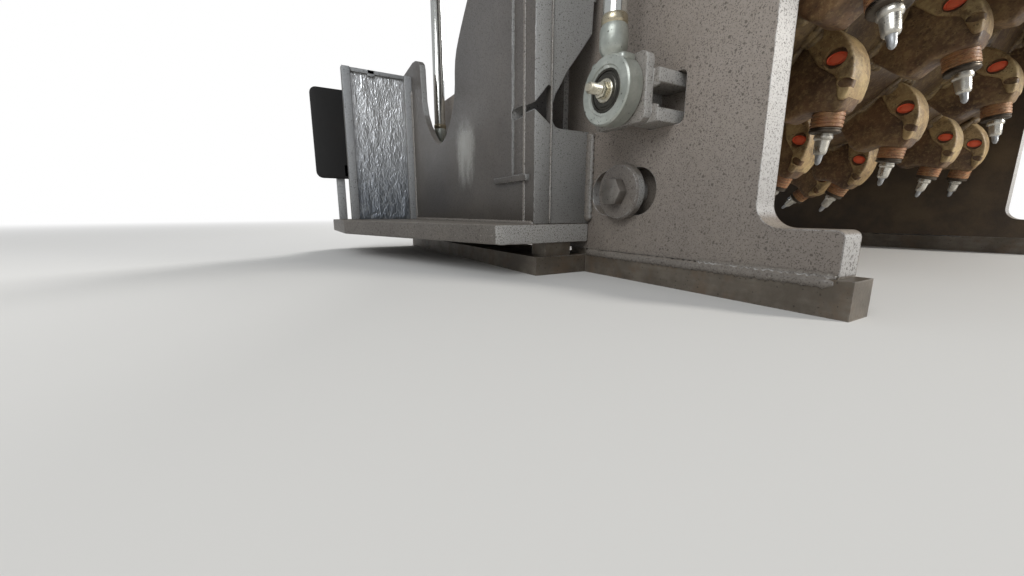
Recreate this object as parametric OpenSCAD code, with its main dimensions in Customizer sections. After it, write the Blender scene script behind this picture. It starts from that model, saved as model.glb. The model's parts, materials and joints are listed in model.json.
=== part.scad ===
// Milling drum unit of a cold planer: housing, drum with picks, side plates that slide on lift
// cylinders, rear scraper and front hold-down. X right, Y forward, Z up, millimetres.
// The origin is on the ground in the middle of the unit's outer box.

/* [Milling drum] */
// Width milled between the outermost lines of picks
mill_w = 1000; // [900:10:1100]
// Radius of the circle that the pick tips cut
cut_r = 440; // [430:1:450]
// Outer radius of the drum tube
tube_r = 300; // [290:1:305]
// Wall of the drum tube
tube_wall = 25; // [15:1:40]
// Height of the lowest pick tip over the ground
tip_clear = 100; // [90:1:130]
// Distance between two neighbouring lines of picks
line_w = 16.8; // [16:0.1:18]
// Turn from one line of picks to the next, degrees
tool_step = -37.67; // [-38:0.01:-37]
// Line where the two helices meet, from the drum's left end
gather_in = 96; // [90:1:110]
// Turn of the left helix against the right one, degrees
helix_turn = 180; // [160:5:200]
// Turn of the drum at rest, degrees
drum_phase = 81; // [0:1:119]
// Angle of a pick to the cutting circle, degrees
attack = 53; // [50:1:56]
// Picks in the ring at each end of the drum
end_tools = 7; // [5:1:7]
// Turn of the left ring of picks against the helices, degrees
end_turn = 228.5; // [200:0.5:250]
// How far the picks in the end rings lean outwards, degrees
end_lean = 10; // [0:1:12]

/* [Pick and holder] */
// Length of the carbide tip
tip_l = 15; // [12:1:17]
// Radius of the carbide tip's foot
tip_r = 5; // [4:0.5:6]
// Length of the pick from its tip to its wear washer
pick_l = 43; // [41:1:46]
// Radius of the pick's body
pick_r = 11; // [10:0.5:12]
// Radius of the wear washer
washer_r = 18.5; // [17.5:0.5:20]
// Thickness of the wear washer
washer_t = 6; // [5:0.5:8]
// Radius of a holder's neck
neck_r = 19; // [17:0.5:21]
// Length of a holder's neck
neck_l = 46; // [42:1:50]
// Width of a holder's foot along the drum
foot_w = 42; // [38:1:46]
// Width of a holder's cheek, which holds the clamp bolt
holder_w = 54; // [50:1:58]
// How far a holder's foot reaches ahead of the pick's tip
foot_ahead = 8; // [0:1:14]
// Height of the foot's front edge over the drum tube
foot_h = 50; // [40:1:56]
// Radius of a holder's curved back
back_r = 80; // [76:1:84]
// Radius of the seat for the clamp bolt's plug
plug_r = 13; // [11:0.5:14]
// Depth of that seat
plug_d = 8; // [4:1:12]

/* [Side plates] */
// Thickness of a side plate
plate_t = 36; // [25:1:45]
// Rear edge of the plate, behind the drum axis
plate_rear = 275; // [265:1:285]
// Front edge of the plate's tall part, ahead of the drum axis
plate_front = 330; // [320:1:340]
// Top of the plate's tall part over the ground
plate_top = 760; // [740:1:770]
// Front end of the plate and of the skid, ahead of the drum axis
nose_y = 740; // [720:5:780]
// Top of the plate's low front part
nose_top = 430; // [400:5:450]
// Length of the foot behind the plate's rear edge
foot_l = 84; // [75:1:95]
// Top of the foot over the ground
foot_top = 84; // [74:1:94]
// Radius of the corner over the foot
foot_fillet = 28; // [15:1:40]
// How far the plates rise
plate_lift = 330; // [280:10:330]
// How far the plates can still drop
plate_drop = 30; // [10:5:40]
// Wall left behind the plates' slot, window and recess
plate_skin = 8; // [6:1:12]
// Gap at the plates' sliding faces
slide_gap = 5; // [5:0.5:8]

/* [Runners and skid] */
// Height of the wear runner under a plate
runner_h = 38; // [30:1:39]
// How far the runner stands out behind the foot
runner_end = 14; // [5:1:25]
// Height of the front shoe
shoe_h = 30; // [24:1:36]
// Width of the front shoe outside the plate
shoe_w = 106; // [90:1:112]
// Underside of the skid plate over the ground
skid_z = 53; // [48:1:58]
// Thickness of the skid plate
skid_t = 30; // [20:1:34]
// Width of the skid plate at its rear edge
skid_w0 = 180; // [160:5:200]
// Width of the skid plate at its front end
skid_w1 = 332; // [300:5:350]
// Length over which the skid plate flares
flare_l = 461; // [400:5:500]

/* [Box and bracket] */
// Width of the box outside the plate
box_w = 112; // [108:1:125]
// Thickness of the box's rear wall
box_t = 14; // [8:1:20]
// Top of the box over the ground
box_top = 640; // [600:5:660]
// Thickness of the wall with the U-shaped cut
uwall_t = 30; // [20:1:34]
// Bottom of the U-shaped cut
u_z = 258; // [240:1:280]
// Radius of the U-shaped cut's bottom
u_r = 62; // [50:1:70]
// Height of the hook beside the U-shaped cut
hook_z = 494; // [480:1:510]
// Thickness of the front panel
panel_t = 8; // [5:1:12]
// Top of the front panel
panel_top = 466; // [440:1:480]
// Thickness of the rubber flap
flap_t = 8; // [6:1:12]
// Outer edge of the rubber flap, from the unit's middle
flap_x = 939; // [925:1:950]
// Lower edge of the rubber flap over the ground
flap_z = 190; // [170:5:210]
// Height of the rubber flap
flap_h = 222; // [200:1:240]

/* [Lift cylinders] */
// Radius of the lift rods
rod_r = 15; // [12:0.5:18]
// Radius of the lift cylinder barrels
barrel_r = 32; // [28:0.5:33]
// Height of the rod eyes over the ground
eye_z = 256; // [250:1:262]
// Radius of a rod eye
eye_r = 43; // [38:0.5:45]
// Thickness of a rod eye
eye_t = 26; // [20:1:28]
// Radius of the pin in a rod eye
pin_r = 15; // [10:0.5:17]
// Rear rod eye behind the drum axis
eye_rear = 107; // [100:1:115]
// Front rod eye ahead of the drum axis
eye_front = 600; // [590:1:610]

/* [Housing] */
// Gap from the outermost picks to the housing walls
end_gap = 12; // [8:1:20]
// Thickness of the housing walls
wall_t = 20; // [12:1:25]
// Rim of the housing walls under the hub
hub_rim = 20; // [10:1:30]
// Middle of the conveyor opening, from the left wall
chute_in = 262; // [250:2:280]
// Height of the conveyor opening's lower edge over the walls' lower edge
chute_up = 120; // [110:5:140]
// Width of the conveyor opening
chute_w = 430; // [380:10:450]
// Height of the conveyor opening
chute_h = 300; // [260:10:320]
// Distance of the conveyor's bolts from the opening
flange_w = 30; // [24:1:40]
// Gap between the cutting circle and the drum cover
cover_gap = 30; // [20:1:40]
// Thickness of the drum cover
cover_t = 12; // [8:1:16]
// Height of the top beams
beam_h = 90; // [70:1:100]
// Width of the top beams
beam_w = 170; // [165:1:180]
// Wall of the top beams
beam_t = 12; // [8:1:16]
// Radius of the bolt holes in the top beams
bolt_r = 11; // [9:0.5:13]
// Radius of the drive hub
hub_r = 110; // [90:1:120]

/* [Scraper] */
// Height of the scraper plate over its wear blade
scraper_h = 510; // [480:5:520]
// Thickness of the scraper plate
scraper_t = 16; // [10:1:20]
// Height of the wear blade below the scraper plate
blade_h = 50; // [40:1:60]
// Height of the raised scraper's lower edge over the drum's lowest tip
scraper_up = 310; // [280:5:330]
// How far the scraper can drop
scraper_drop = 330; // [300:5:340]
// Distance between the scraper's cylinders
scraper_cyl_x = 500; // [400:10:600]
// Radius of the scraper's rods
scraper_rod_r = 14; // [10:0.5:17]
// Radius of the scraper's cylinder barrels
scraper_barrel_r = 27; // [24:0.5:30]

/* [Hold-down] */
// Height of the hold-down's shoe
hold_h = 180; // [150:5:200]
// Thickness of the hold-down's plates
hold_t = 20; // [14:1:26]

/* [Hidden] */
$fn = 64;
fit = 0.3;
axis_z = tip_clear + cut_r;
wall_z = axis_z - hub_r - hub_rim;
chute_z = wall_z + chute_up;
wall_in = mill_w / 2 + end_gap;
wall_out = wall_in + wall_t;
plate_in = wall_out + slide_gap;
plate_out = plate_in + plate_t;
box_out = plate_out + box_w;
skid_top = skid_z + skid_t;
cover_r = cut_r + cover_gap;
cover_out = cover_r + cover_t;
front_face = cover_out + wall_t;
scraper_y = -cover_out - slide_gap;
scraper_back = scraper_y - scraper_t;
scraper_cyl_y = scraper_back - scraper_barrel_r - 12;
scraper_z = tip_clear + scraper_up;
beam_rear = -scraper_cyl_y + scraper_barrel_r + 10;
axis_y = (beam_rear - nose_y) / 2;
wall_top = max(plate_top + plate_lift, axis_z + cover_out) + 10;
beam_top = wall_top + beam_h;
eye_x = plate_out + 62;
front_eye_x = plate_out + 41;
neck_h = 80;
barrel_z = eye_z + plate_lift + neck_h + 15;
rod_top = barrel_z + plate_drop + 15;
bore_top = rod_top + plate_lift + 8;
scraper_eye_z = wall_top - scraper_drop - 120;
hold_y = front_face + 45;
hold_z = wall_z + 55;
gather_x = gather_in - mill_w / 2;
chute_x = chute_in - wall_in;
foot_z = cut_r - tube_r;
ring_in = mill_w / 2 - washer_r - foot_z * tan(end_lean) - holder_w / 2 / cos(end_lean);
holder_lines = ring_in - holder_w / 2 - slide_gap;
lines_left = max(0, floor((holder_lines + gather_x) / line_w));
lines_right = floor((holder_lines - gather_x) / line_w);

// Places its children at the drum axis height on the ground, under the drum axis
module at_axis() { translate([0, axis_y, 0]) children(); }

// Draws the left side's piece, or its mirror image on the right
module on_side(side) { mirror([side == "right" ? 1 : 0, 0, 0]) at_axis() children(); }

// Plate in the YZ plane, from x0 towards +X
module plate_yz(x0, t) { translate([x0, 0, 0]) rotate([90, 0, 90]) linear_extrude(t) children(); }

// Plate in the XZ plane, from y0 towards +Y
module plate_xz(y0, t) { translate([0, y0 + t, 0]) rotate([90, 0, 0]) linear_extrude(t) children(); }

// Cylinder along X, from x0
module rod_x(x0, l, r) { translate([x0, 0, 0]) rotate([0, 90, 0]) cylinder(h = l, r = r); }

// Rectangle from its low corner, with round corners
module round_rect(p, w, h, r) {
    translate(p) {
        translate([r, 0]) square([w - 2 * r, h]);
        translate([0, r]) square([w, h - 2 * r]);
        for (x = [r, w - r], y = [r, h - r]) translate([x, y]) circle(r);
    }
}

// Drum

// Puts its children at the tip of every pick, Z running from the tip back into the holder
module each_tool() {
    translate([0, axis_y, axis_z]) {
        for (k = [-lines_left:lines_right])
            translate([gather_x + k * line_w, 0, 0])
                tool_at(drum_phase + abs(k) * tool_step + (k < 0 ? helix_turn : 0), 0) children();
        for (s = [-1, 1], i = [0:end_tools - 1])
            translate([s * (mill_w / 2 - washer_r), 0, 0])
                tool_at(drum_phase + end_turn + (i + (s > 0 ? 0.5 : 0)) * 360 / end_tools, s * end_lean)
                    children();
    }
}

// Turns its children to an angle on the drum, and leans them along the drum
module tool_at(turn, lean) {
    rotate([turn, 0, 0]) translate([0, 0, -cut_r]) rotate([0, -lean, 0]) rotate([90 - attack, 0, 0])
        children();
}

module pick() {
    rotate_extrude($fn = 24)
        polygon([[0, 0], [tip_r - 3, 0], [tip_r - 0.5, 4], [tip_r, tip_l], [pick_r - 2, tip_l],
            [pick_r, pick_l - 9], [pick_r + 3, pick_l - 7], [pick_r + 3, pick_l],
            [washer_r - 1, pick_l], [washer_r, pick_l + 1], [washer_r, pick_l + washer_t],
            [0, pick_l + washer_t]]);
}

module picks() { color("silver") each_tool() pick(); }

// Holder: a ribbed neck on a foot with a curved back, and a wider cheek along that back with the seat
// of the clamp bolt's plug. Seen along the drum, Y runs forward and Z inward from the pick's tip
head_at = pick_l + washer_t + neck_l;
neck_end = [-head_at * cos(attack), head_at * sin(attack)];

// Point at an offset across the neck's end, and along it into the drum
function at_neck(across, along) = neck_end
    + across * [sin(attack), cos(attack)] + along * [-cos(attack), sin(attack)];

module holder_side() {
    deep = foot_z + 50;
    intersection() {
        translate(at_neck(52, 11)) circle(back_r, $fn = 72);
        polygon([[foot_ahead, deep], [foot_ahead, foot_z - foot_h],
            [foot_ahead - 6, foot_z - foot_h - 16], at_neck(neck_r + 4, -25), at_neck(-neck_r - 4, -28),
            [-2 * back_r, at_neck(-neck_r - 4, -28)[1]], [-2 * back_r, deep]]);
    }
}

module holder_foot() {
    plate_yz(-foot_w / 2, foot_w) holder_side();
    plate_yz(-holder_w / 2, holder_w) intersection() {
        holder_side();
        polygon([at_neck(-16, -14), at_neck(-8, 16), at_neck(16, 32), at_neck(50, 80),
            at_neck(-100, 120), at_neck(-100, -14)]);
    }
}

// Seat of the plug and the slot beside it, cut into the cheek's left face
module cheek_cuts() {
    plate_yz(-holder_w / 2 - 1, plug_d + 1) translate(at_neck(-4, 38)) circle(plug_r, $fn = 24);
    plate_yz(-holder_w / 2 - 1, holder_w / 2) {
        for (v = [2, 10]) translate(at_neck(-21, v)) circle(6, $fn = 24);
        translate(at_neck(-21, 2)) rotate(180 - attack) translate([0, -5.5]) square([8, 11]);
    }
}

module holder_neck() {
    neck_in = pick_l + washer_t + fit;
    neck_deep = neck_in + neck_l + 10;
    ring_h = 5;
    rotate_extrude($fn = 32)
        polygon([[0, neck_in], for (i = [0:3], e = [[0, 0], [0, ring_h - 2], [-1, ring_h - 1.5],
            [-1, ring_h - 0.5]]) [neck_r + e[0], neck_in + i * ring_h + e[1]],
            [neck_r, neck_in + 4 * ring_h], [neck_r, neck_deep], [0, neck_deep]]);
}

module pick_holder() {
    union() {
        holder_neck();
        rotate([attack - 90, 0, 0]) difference() {
            holder_foot();
            cheek_cuts();
        }
    }
}

module pick_holders() {
    color("saddlebrown") difference() {
        each_tool() pick_holder();
        translate([0, axis_y, axis_z]) rod_x(-mill_w, 2 * mill_w, tube_r + fit);
    }
}

module drum_tube() {
    half = mill_w / 2 - 10;
    web_t = 40;
    web_in = 8;
    color("saddlebrown") translate([0, axis_y, axis_z]) rotate([0, 90, 0]) rotate_extrude($fn = 96)
        union() {
            translate([tube_r - tube_wall, -half]) square([tube_wall, 2 * half]);
            for (s = [-1, 1]) {
                translate([hub_r + fit, s > 0 ? half - web_in - web_t : web_in - half])
                    square([tube_r - tube_wall - hub_r - fit + 1, web_t]);
            }
        }
}

// Paddles between the holders that throw the milled material forward where the helices meet
module ejectors() {
    paddle_w = 60;
    paddle_h = 70;
    paddle_t = 24;
    color("saddlebrown") translate([0, axis_y, axis_z])
        for (a = [39, 193]) rotate([drum_phase + a, 0, 0])
            translate([gather_x - paddle_w / 2, -paddle_t / 2, -tube_r - paddle_h])
                cube([paddle_w, paddle_t, paddle_h - fit]);
}

// Housing

module wall(side) {
    color("dimgray") on_side(side) difference() {
        plate_yz(-wall_out, wall_t) polygon([[-cover_out, wall_z], [cover_out, wall_z],
            [cover_out, wall_top], [-cover_out, wall_top]]);
        translate([0, 0, axis_z]) rod_x(-wall_out - 1, wall_t + 2, hub_r + fit);
    }
}
module wall_left() { wall("left"); }
module wall_right() { wall("right"); }

// Curved cover over the drum, with a flat roof from its front edge to the front wall
module drum_cover() {
    roof_z = chute_z + chute_h + 2 * flange_w;
    roof_y = sqrt(cover_r * cover_r - (roof_z - axis_z) * (roof_z - axis_z));
    color("dimgray") at_axis() plate_yz(-wall_in, 2 * wall_in) translate([0, axis_z]) union() {
        difference() {
            circle(cover_out, $fn = 96);
            circle(cover_r, $fn = 96);
            translate([-cover_out - 1, -cover_out - 1]) square([cover_out + 2, cover_out + 1]);
            translate([0, -cover_out - 1]) square([cover_out + 1, cover_out + 1 + roof_z - axis_z]);
        }
        translate([roof_y + cover_t / 2, roof_z - axis_z])
            square([cover_out - roof_y - cover_t / 2, cover_t]);
    }
}

// Front wall with the opening for the conveyor
module front_wall() {
    color("dimgray") at_axis() difference() {
        plate_xz(cover_out, wall_t) difference() {
            translate([-wall_out, wall_z]) square([2 * wall_out, wall_top - wall_z]);
            round_rect([chute_x - chute_w / 2, chute_z], chute_w, chute_h, 30);
        }
        for (x = [-1, 1], z = [-1, 1])
            translate([chute_x + x * (chute_w / 2 + flange_w), cover_out - 1,
                chute_z + chute_h / 2 + z * (chute_h / 2 + flange_w)])
                rotate([-90, 0, 0]) cylinder(h = wall_t + 2, r = bolt_r);
    }
}

module beam(side) {
    beam_l = beam_rear + nose_y - 30;
    color("dimgray") on_side(side) translate([-wall_in - beam_w + 20, -beam_rear, wall_top])
        difference() {
            cube([beam_w, beam_l, beam_h]);
            translate([beam_t, -1, beam_t])
                cube([beam_w - 2 * beam_t, beam_l + 2, beam_h - 2 * beam_t]);
            for (x = [45, beam_w - 45], y = [60, beam_l - 60])
                translate([x, y, beam_h - beam_t - 1]) cylinder(h = beam_t + 2, r = bolt_r);
        }
}
module beam_left() { beam("left"); }
module beam_right() { beam("right"); }

module cross_beams() {
    inner = wall_in - 20;
    color("dimgray") at_axis() for (y = [-beam_rear, 180])
        translate([-inner, y, wall_top]) difference() {
            cube([2 * inner, 90, beam_h]);
            translate([-1, 10, 10]) cube([2 * inner + 2, 70, beam_h - 20]);
        }
}

module hub() {
    rim_r = hub_r * 1.55;
    rim_t = wall_t;
    hub_in = hub_r;
    color("gray") translate([0, axis_y, axis_z]) rotate([0, 90, 0]) rotate_extrude($fn = 96)
        polygon([[0, -wall_out], [hub_r, -wall_out], [hub_r, -wall_in], [rim_r, -wall_in],
            [rim_r, rim_t - wall_in], [hub_r, rim_t - wall_in], [hub_r, hub_in - wall_in],
            [0, hub_in - wall_in]]);
}
module drive_hub() { hub(); }
module bearing_hub() { mirror([1, 0, 0]) hub(); }

// Guide blocks at the plate's edges, each with a strip that laps over its outer face
module guides(side) {
    strip_w = 34;
    strip_t = 12;
    lap = 26;
    low = wall_z + 60;
    block_w = strip_w + slide_gap;
    color("dimgray") on_side(side) for (end = [[-plate_rear - block_w, -plate_rear - slide_gap, low],
        [plate_front + slide_gap, plate_front + block_w, nose_top + plate_lift + 10]]) {
        rear = end[0] < 0;
        translate([-plate_out - slide_gap, end[0], end[2]])
            cube([plate_out + slide_gap - wall_out, strip_w, wall_top - end[2]]);
        translate([-plate_out - slide_gap - strip_t, rear ? end[0] : plate_front - lap, low])
            cube([strip_t, block_w + lap, wall_top - low]);
    }
}
module guides_left() { guides("left"); }
module guides_right() { guides("right"); }

module lift_barrels(side) {
    color("dimgray") on_side(side) for (cyl = [[-eye_rear, eye_x], [eye_front, front_eye_x]])
        translate([-cyl[1], cyl[0], 0]) barrel(barrel_z, bore_top, barrel_r, rod_r);
}
module lift_barrels_left() { lift_barrels("left"); }
module lift_barrels_right() { lift_barrels("right"); }

// Upright barrel with its bore from z0 to z1, hung from the beams by an ear
module barrel(z0, z1, r, rod) {
    difference() {
        translate([0, 0, z0]) cylinder(h = z1 + 12 - z0, r = r);
        translate([0, 0, z0 - 1]) cylinder(h = z1 + 1 - z0, r = rod + fit);
    }
    translate([-eye_t / 2, -r, z1 + 12]) cube([eye_t, 2 * r, wall_top - z1 - 12]);
}

module spray_bar() {
    color("silver") at_axis() translate([0, front_face, wall_top - 100]) {
        translate([0, 60, 0]) rod_x(-wall_in + 60, 2 * wall_in - 120, 20);
        for (x = [-wall_in + 100, 0, wall_in - 100]) translate([x - 10, 0, -10]) cube([20, 50, 20]);
    }
}

// Ears on the front wall that carry the hold-down's arms
arm_x = wall_in - 80;
module hold_down_brackets() {
    color("dimgray") at_axis() for (x = [-arm_x, arm_x]) {
        for (s = [-1, 1]) plate_yz(x + s * 35 - 10, 20) union() {
            translate([front_face, hold_z - 30]) square([45, 60]);
            translate([hold_y, hold_z]) circle(30);
        }
        translate([0, hold_y, hold_z]) rod_x(x - 25, 50, 14);
    }
}

// Scraper, a plate that slides down behind the drum, drawn raised

module scraper_guides() {
    strip_y = scraper_back - slide_gap;
    color("dimgray") at_axis() for (m = [0, 1]) mirror([m, 0, 0]) {
        translate([-wall_out - 20, strip_y - 12, wall_z]) cube([20, 100, wall_top - wall_z]);
        translate([-wall_out, strip_y - 12, wall_z]) cube([45, 12, wall_top - wall_z]);
    }
}

module scraper_plate() {
    width = 2 * (wall_out - slide_gap);
    color("dimgray") at_axis() {
        translate([-width / 2, scraper_back, scraper_z + blade_h]) cube([width, scraper_t, scraper_h]);
        for (x = [-1, 1]) translate([x * scraper_cyl_x / 2, scraper_cyl_y, scraper_eye_z])
            for (s = [-1, 1]) translate([s * (eye_t / 2 + 8) - 6, 0, 0])
                plate_yz(0, 12) difference() {
                    union() {
                        translate([0, -24]) square([scraper_back - scraper_cyl_y, 48]);
                        circle(24);
                    }
                    circle(9 + fit);
                }
    }
}

module scraper_blade() {
    width = 2 * (wall_out - slide_gap);
    color("gray") at_axis() translate([-width / 2, scraper_back, scraper_z])
        cube([width, scraper_t, blade_h]);
}

module scraper_rods() {
    color("silver") at_axis() for (x = [-1, 1])
        translate([x * scraper_cyl_x / 2, scraper_cyl_y, 0]) {
            translate([0, 0, scraper_eye_z]) rod_x(-eye_t / 2, eye_t, 22);
            translate([0, 0, scraper_eye_z]) rod_x(-eye_t / 2 - 14, eye_t + 28, 9);
            translate([0, 0, scraper_eye_z + 15])
                cylinder(h = scraper_drop + 40, r = scraper_rod_r);
        }
}

module scraper_barrels() {
    z0 = scraper_eye_z + 40;
    color("dimgray") at_axis() for (x = [-1, 1])
        translate([x * scraper_cyl_x / 2, scraper_cyl_y, 0])
            barrel(z0, scraper_eye_z + 15 + scraper_drop + 45, scraper_barrel_r, scraper_rod_r);
}

// Side plates

// Window that holds the rod's lug, the slot with its bolt, and the recess behind the rod
window_y = -173;
window_z = 213;
window_w = 60;
window_h = 64;
slot_bolt_y = -78;
slot_bolt_z = 131;
recess_d = 10;
recess_y = -62;
recess_w = 140;
recess_h = 250;

// Slot along Y between the centres in ys
module slot_yz(ys, z, r) {
    for (y = ys) translate([y, z]) circle(r);
    translate([ys[0], z - r]) square([ys[1] - ys[0], 2 * r]);
}

// Height of the plate's lower edge over the ground
plate_low = 40;
module side_plate(side) {
    color("dimgray") on_side(side) difference() {
        plate_yz(-plate_out, plate_t) union() {
            translate([-plate_rear, plate_low]) square([plate_rear + plate_front, plate_top - plate_low]);
            translate([plate_front - 1, plate_low])
                square([nose_y - plate_front + 1, nose_top - plate_low]);
            round_rect([-plate_rear - foot_l, plate_low], foot_l + 60, foot_top - plate_low, 8);
            translate([-plate_rear - foot_l, plate_low]) square([foot_l, 20]);
            difference() {
                translate([-plate_rear - foot_fillet, foot_top]) square(foot_fillet);
                translate([-plate_rear - foot_fillet, foot_top + foot_fillet]) circle(foot_fillet);
            }
        }
        plate_yz(-plate_out - 1, plate_t - plate_skin + 1) {
            slot_yz([slot_bolt_y - 26, slot_bolt_y + 36], slot_bolt_z, 34);
            round_rect([window_y, window_z], window_w, window_h, 8);
        }
        plate_yz(-plate_out - 1, recess_d + 1)
            round_rect([recess_y, window_z + 14], recess_w, recess_h, 24);
    }
}
module plate_left() { side_plate("left"); }
module plate_right() { side_plate("right"); }

// Wear runner under the rear half of the plate
module runner(side) {
    weld_l = 66;
    color("dimgray") on_side(side) {
        translate([-plate_out - 5, -plate_rear - foot_l - runner_end, 0])
            cube([plate_t + 5, plate_rear + foot_l + runner_end, runner_h]);
        translate([-plate_out - 2, -plate_rear - foot_l, runner_h])
            cube([plate_t + 2, foot_l + weld_l, plate_low - runner_h]);
        translate([-plate_out, -25, runner_h]) cube([plate_t, 25, plate_low - runner_h]);
    }
}
module runner_left() { runner("left"); }
module runner_right() { runner("right"); }

// Front shoe with the blocks that carry the plate and the skid plate
module shoe(side) {
    color("dimgray") on_side(side) {
        translate([-plate_out - shoe_w, 1, 0])
            cube([shoe_w + plate_t, nose_y - 40, shoe_h]);
        for (y = [4, 330, nose_y - 90]) {
            translate([-plate_out - shoe_w + 20, y, shoe_h]) cube([50, 40, skid_z - shoe_h]);
            translate([-plate_out, y, shoe_h]) cube([plate_t, 40, plate_low - shoe_h]);
        }
    }
}
module shoe_left() { shoe("left"); }
module shoe_right() { shoe("right"); }

module skid(side) {
    color("dimgray") on_side(side) translate([-plate_out, 0, skid_z]) linear_extrude(skid_t)
        polygon([[0, 0], [-skid_w0, 0], [-skid_w1, flare_l], [-skid_w1, nose_y - 60],
            [-skid_w1 + 60, nose_y], [0, nose_y]]);
}
module skid_left() { skid("left"); }
module skid_right() { skid("right"); }

// Rear wall of the box, with the cut that clears the rod eye
module box(side) {
    color("dimgray") on_side(side) plate_xz(0, box_t) difference() {
        translate([-box_out + uwall_t, skid_top]) square([box_w - uwall_t, box_top - skid_top]);
        translate([-plate_out, window_z + 19])
            polygon([[1, 0], [-78, 0], [-82, 30], [-74, 49], [-54, 83], [-7, 145], [-5, 191], [1, 191]]);
    }
}
module box_left() { box("left"); }
module box_right() { box("right"); }

// Outer wall of the box, with a U-shaped cut open at the top, a groove beside its rear edge that ends
// at a rib, and a notch in that edge
module u_wall(side) {
    u_y = 407;
    groove_d = 4;
    rib_z = 150;
    notch_z = 231;
    color("dimgray") on_side(side) {
        difference() {
            plate_yz(-box_out, uwall_t) difference() {
                polygon([[0, skid_top], [nose_y - 20, skid_top], [nose_y - 20, hook_z - 60],
                    [704, hook_z], [560, hook_z], [540, hook_z - 24], [0.84 * nose_y - 160, hook_z - 20],
                    [180, hook_z + 10], [150, box_top], [0, box_top]]);
                translate([u_y, u_z + u_r]) circle(u_r);
                polygon([[u_y - u_r * 0.99, u_z + u_r - 6], [u_y + u_r * 0.98, u_z + u_r - 10],
                    [489, u_z + 119], [530, hook_z - 14], [500, hook_z + 30], [170, hook_z + 30],
                    [200, hook_z - 14], [310, u_z + 117]]);
            }
            translate([-box_out - 1, 33, rib_z + 12]) cube([groove_d + 1, 35, box_top - rib_z]);
            plate_xz(-1, 21) translate([-box_out, notch_z])
                polygon([[-1, 27], [24, 56], [uwall_t + 1, 54], [uwall_t + 1, 0]]);
        }
        translate([-box_out - 7, 14, rib_z]) cube([7, 108, 10]);
    }
}
module u_wall_left() { u_wall("left"); }
module u_wall_right() { u_wall("right"); }

// Panel across the front of the skid
panel_back = 110;
panel_y = nose_y - panel_back;
module panel(side) {
    panel_x = plate_out + skid_w1 - 42;
    strip_w = 20;
    strip_t = 12;
    post_h = flap_z - skid_top + 43;
    color("slategray") on_side(side) {
        translate([-panel_x, panel_y, skid_top])
            cube([panel_x - box_out, panel_t, panel_top - skid_top]);
        for (x = [-panel_x, -box_out - strip_w])
            translate([x, panel_y - strip_t, skid_top]) cube([strip_w, strip_t, panel_top - skid_top]);
        translate([-panel_x - 28, panel_y + panel_t + flap_t, skid_top]) cube([strip_w, 14, post_h]);
    }
}
module panel_left() { panel("left"); }
module panel_right() { panel("right"); }

// Rubber flap outside the panel
module flap(side) {
    flap_in = 62;
    color("black") on_side(side) plate_xz(panel_y + panel_t, flap_t)
        round_rect([-flap_x, flap_z], flap_x - plate_out - skid_w1 + flap_in, flap_h, 16);
}
module flap_left() { flap("left"); }
module flap_right() { flap("right"); }

// Lugs that carry the rod eyes. Two bars hold the rear one through the plate's window
module rod_lug(side) {
    cheek_t = 14;
    cheek_w = 90;
    cheek_h = 84;
    cheek_z = eye_z - cheek_h / 2;
    cheek_x = eye_x - eye_t / 2 - fit;
    bar_h = 18;
    color("dimgray") on_side(side) {
        plate_yz(-cheek_x, cheek_t)
            round_rect([-eye_rear - cheek_w / 2, cheek_z], cheek_w, cheek_h, 10);
        for (z = [window_z, window_z + window_h - bar_h])
            translate([-cheek_x + cheek_t, window_y + 12, z])
                cube([cheek_x - cheek_t - plate_in - plate_skin, window_w - 20, bar_h]);
        lug_pin([-cheek_x, -eye_rear, eye_z], 26);
        plate_yz(-front_eye_x + eye_t / 2 + fit, front_eye_x - eye_t / 2 - fit - plate_out)
            round_rect([eye_front - cheek_w / 2, cheek_z], cheek_w, cheek_h, 10);
        lug_pin([-front_eye_x + eye_t / 2 + fit, eye_front, eye_z], 8);
    }
}

// Pin through a rod eye, with its nut and threaded end
module lug_pin(p, stub_l) {
    translate(p) {
        rod_x(-eye_t - 2 * fit, eye_t + 2 * fit, pin_r - fit);
        rod_x(-eye_t - 2 * fit - 8, 8, 11);
        rod_x(-eye_t - 2 * fit - 8 - stub_l, stub_l + 2, 7);
    }
}
module rod_lug_left() { rod_lug("left"); }
module rod_lug_right() { rod_lug("right"); }

// Lift rods with their eyes
module lift_rods(side) {
    color("silver") on_side(side) for (cyl = [[-eye_rear, eye_x], [eye_front, front_eye_x]])
        translate([-cyl[1], cyl[0], 0]) {
            difference() {
                union() {
                    translate([0, 0, eye_z]) rod_x(-eye_t / 2, eye_t, eye_r);
                    translate([0, 0, eye_z]) cylinder(h = neck_h - 2, r = eye_t / 2 - 1);
                    translate([0, 0, eye_z + eye_r + 2]) cylinder(h = neck_h - eye_r - 2, r = eye_t * 0.7);
                    translate([0, 0, eye_z + neck_h - 1])
                        cylinder(h = rod_top - eye_z - neck_h + 1, r = rod_r);
                }
                translate([0, 0, eye_z]) rod_x(-eye_t, 2 * eye_t, pin_r);
            }
        }
}
module lift_rods_left() { lift_rods("left"); }
module lift_rods_right() { lift_rods("right"); }

// Bolt with its thick washer in the plate's slot
module slot_bolt(side) {
    slot_washer_t = 15;
    head_h = 15;
    bolt_at = [-plate_out, slot_bolt_y, slot_bolt_z];
    color("gray") on_side(side) translate(bolt_at) {
        rod_x(-slot_washer_t, slot_washer_t, 41);
        rod_x(0, plate_t - plate_skin, 22);
        rotate([0, -90, 0]) translate([0, 0, slot_washer_t]) cylinder(h = head_h, r = 20.8, $fn = 6);
    }
}
module slot_bolt_left() { slot_bolt("left"); }
module slot_bolt_right() { slot_bolt("right"); }

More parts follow.
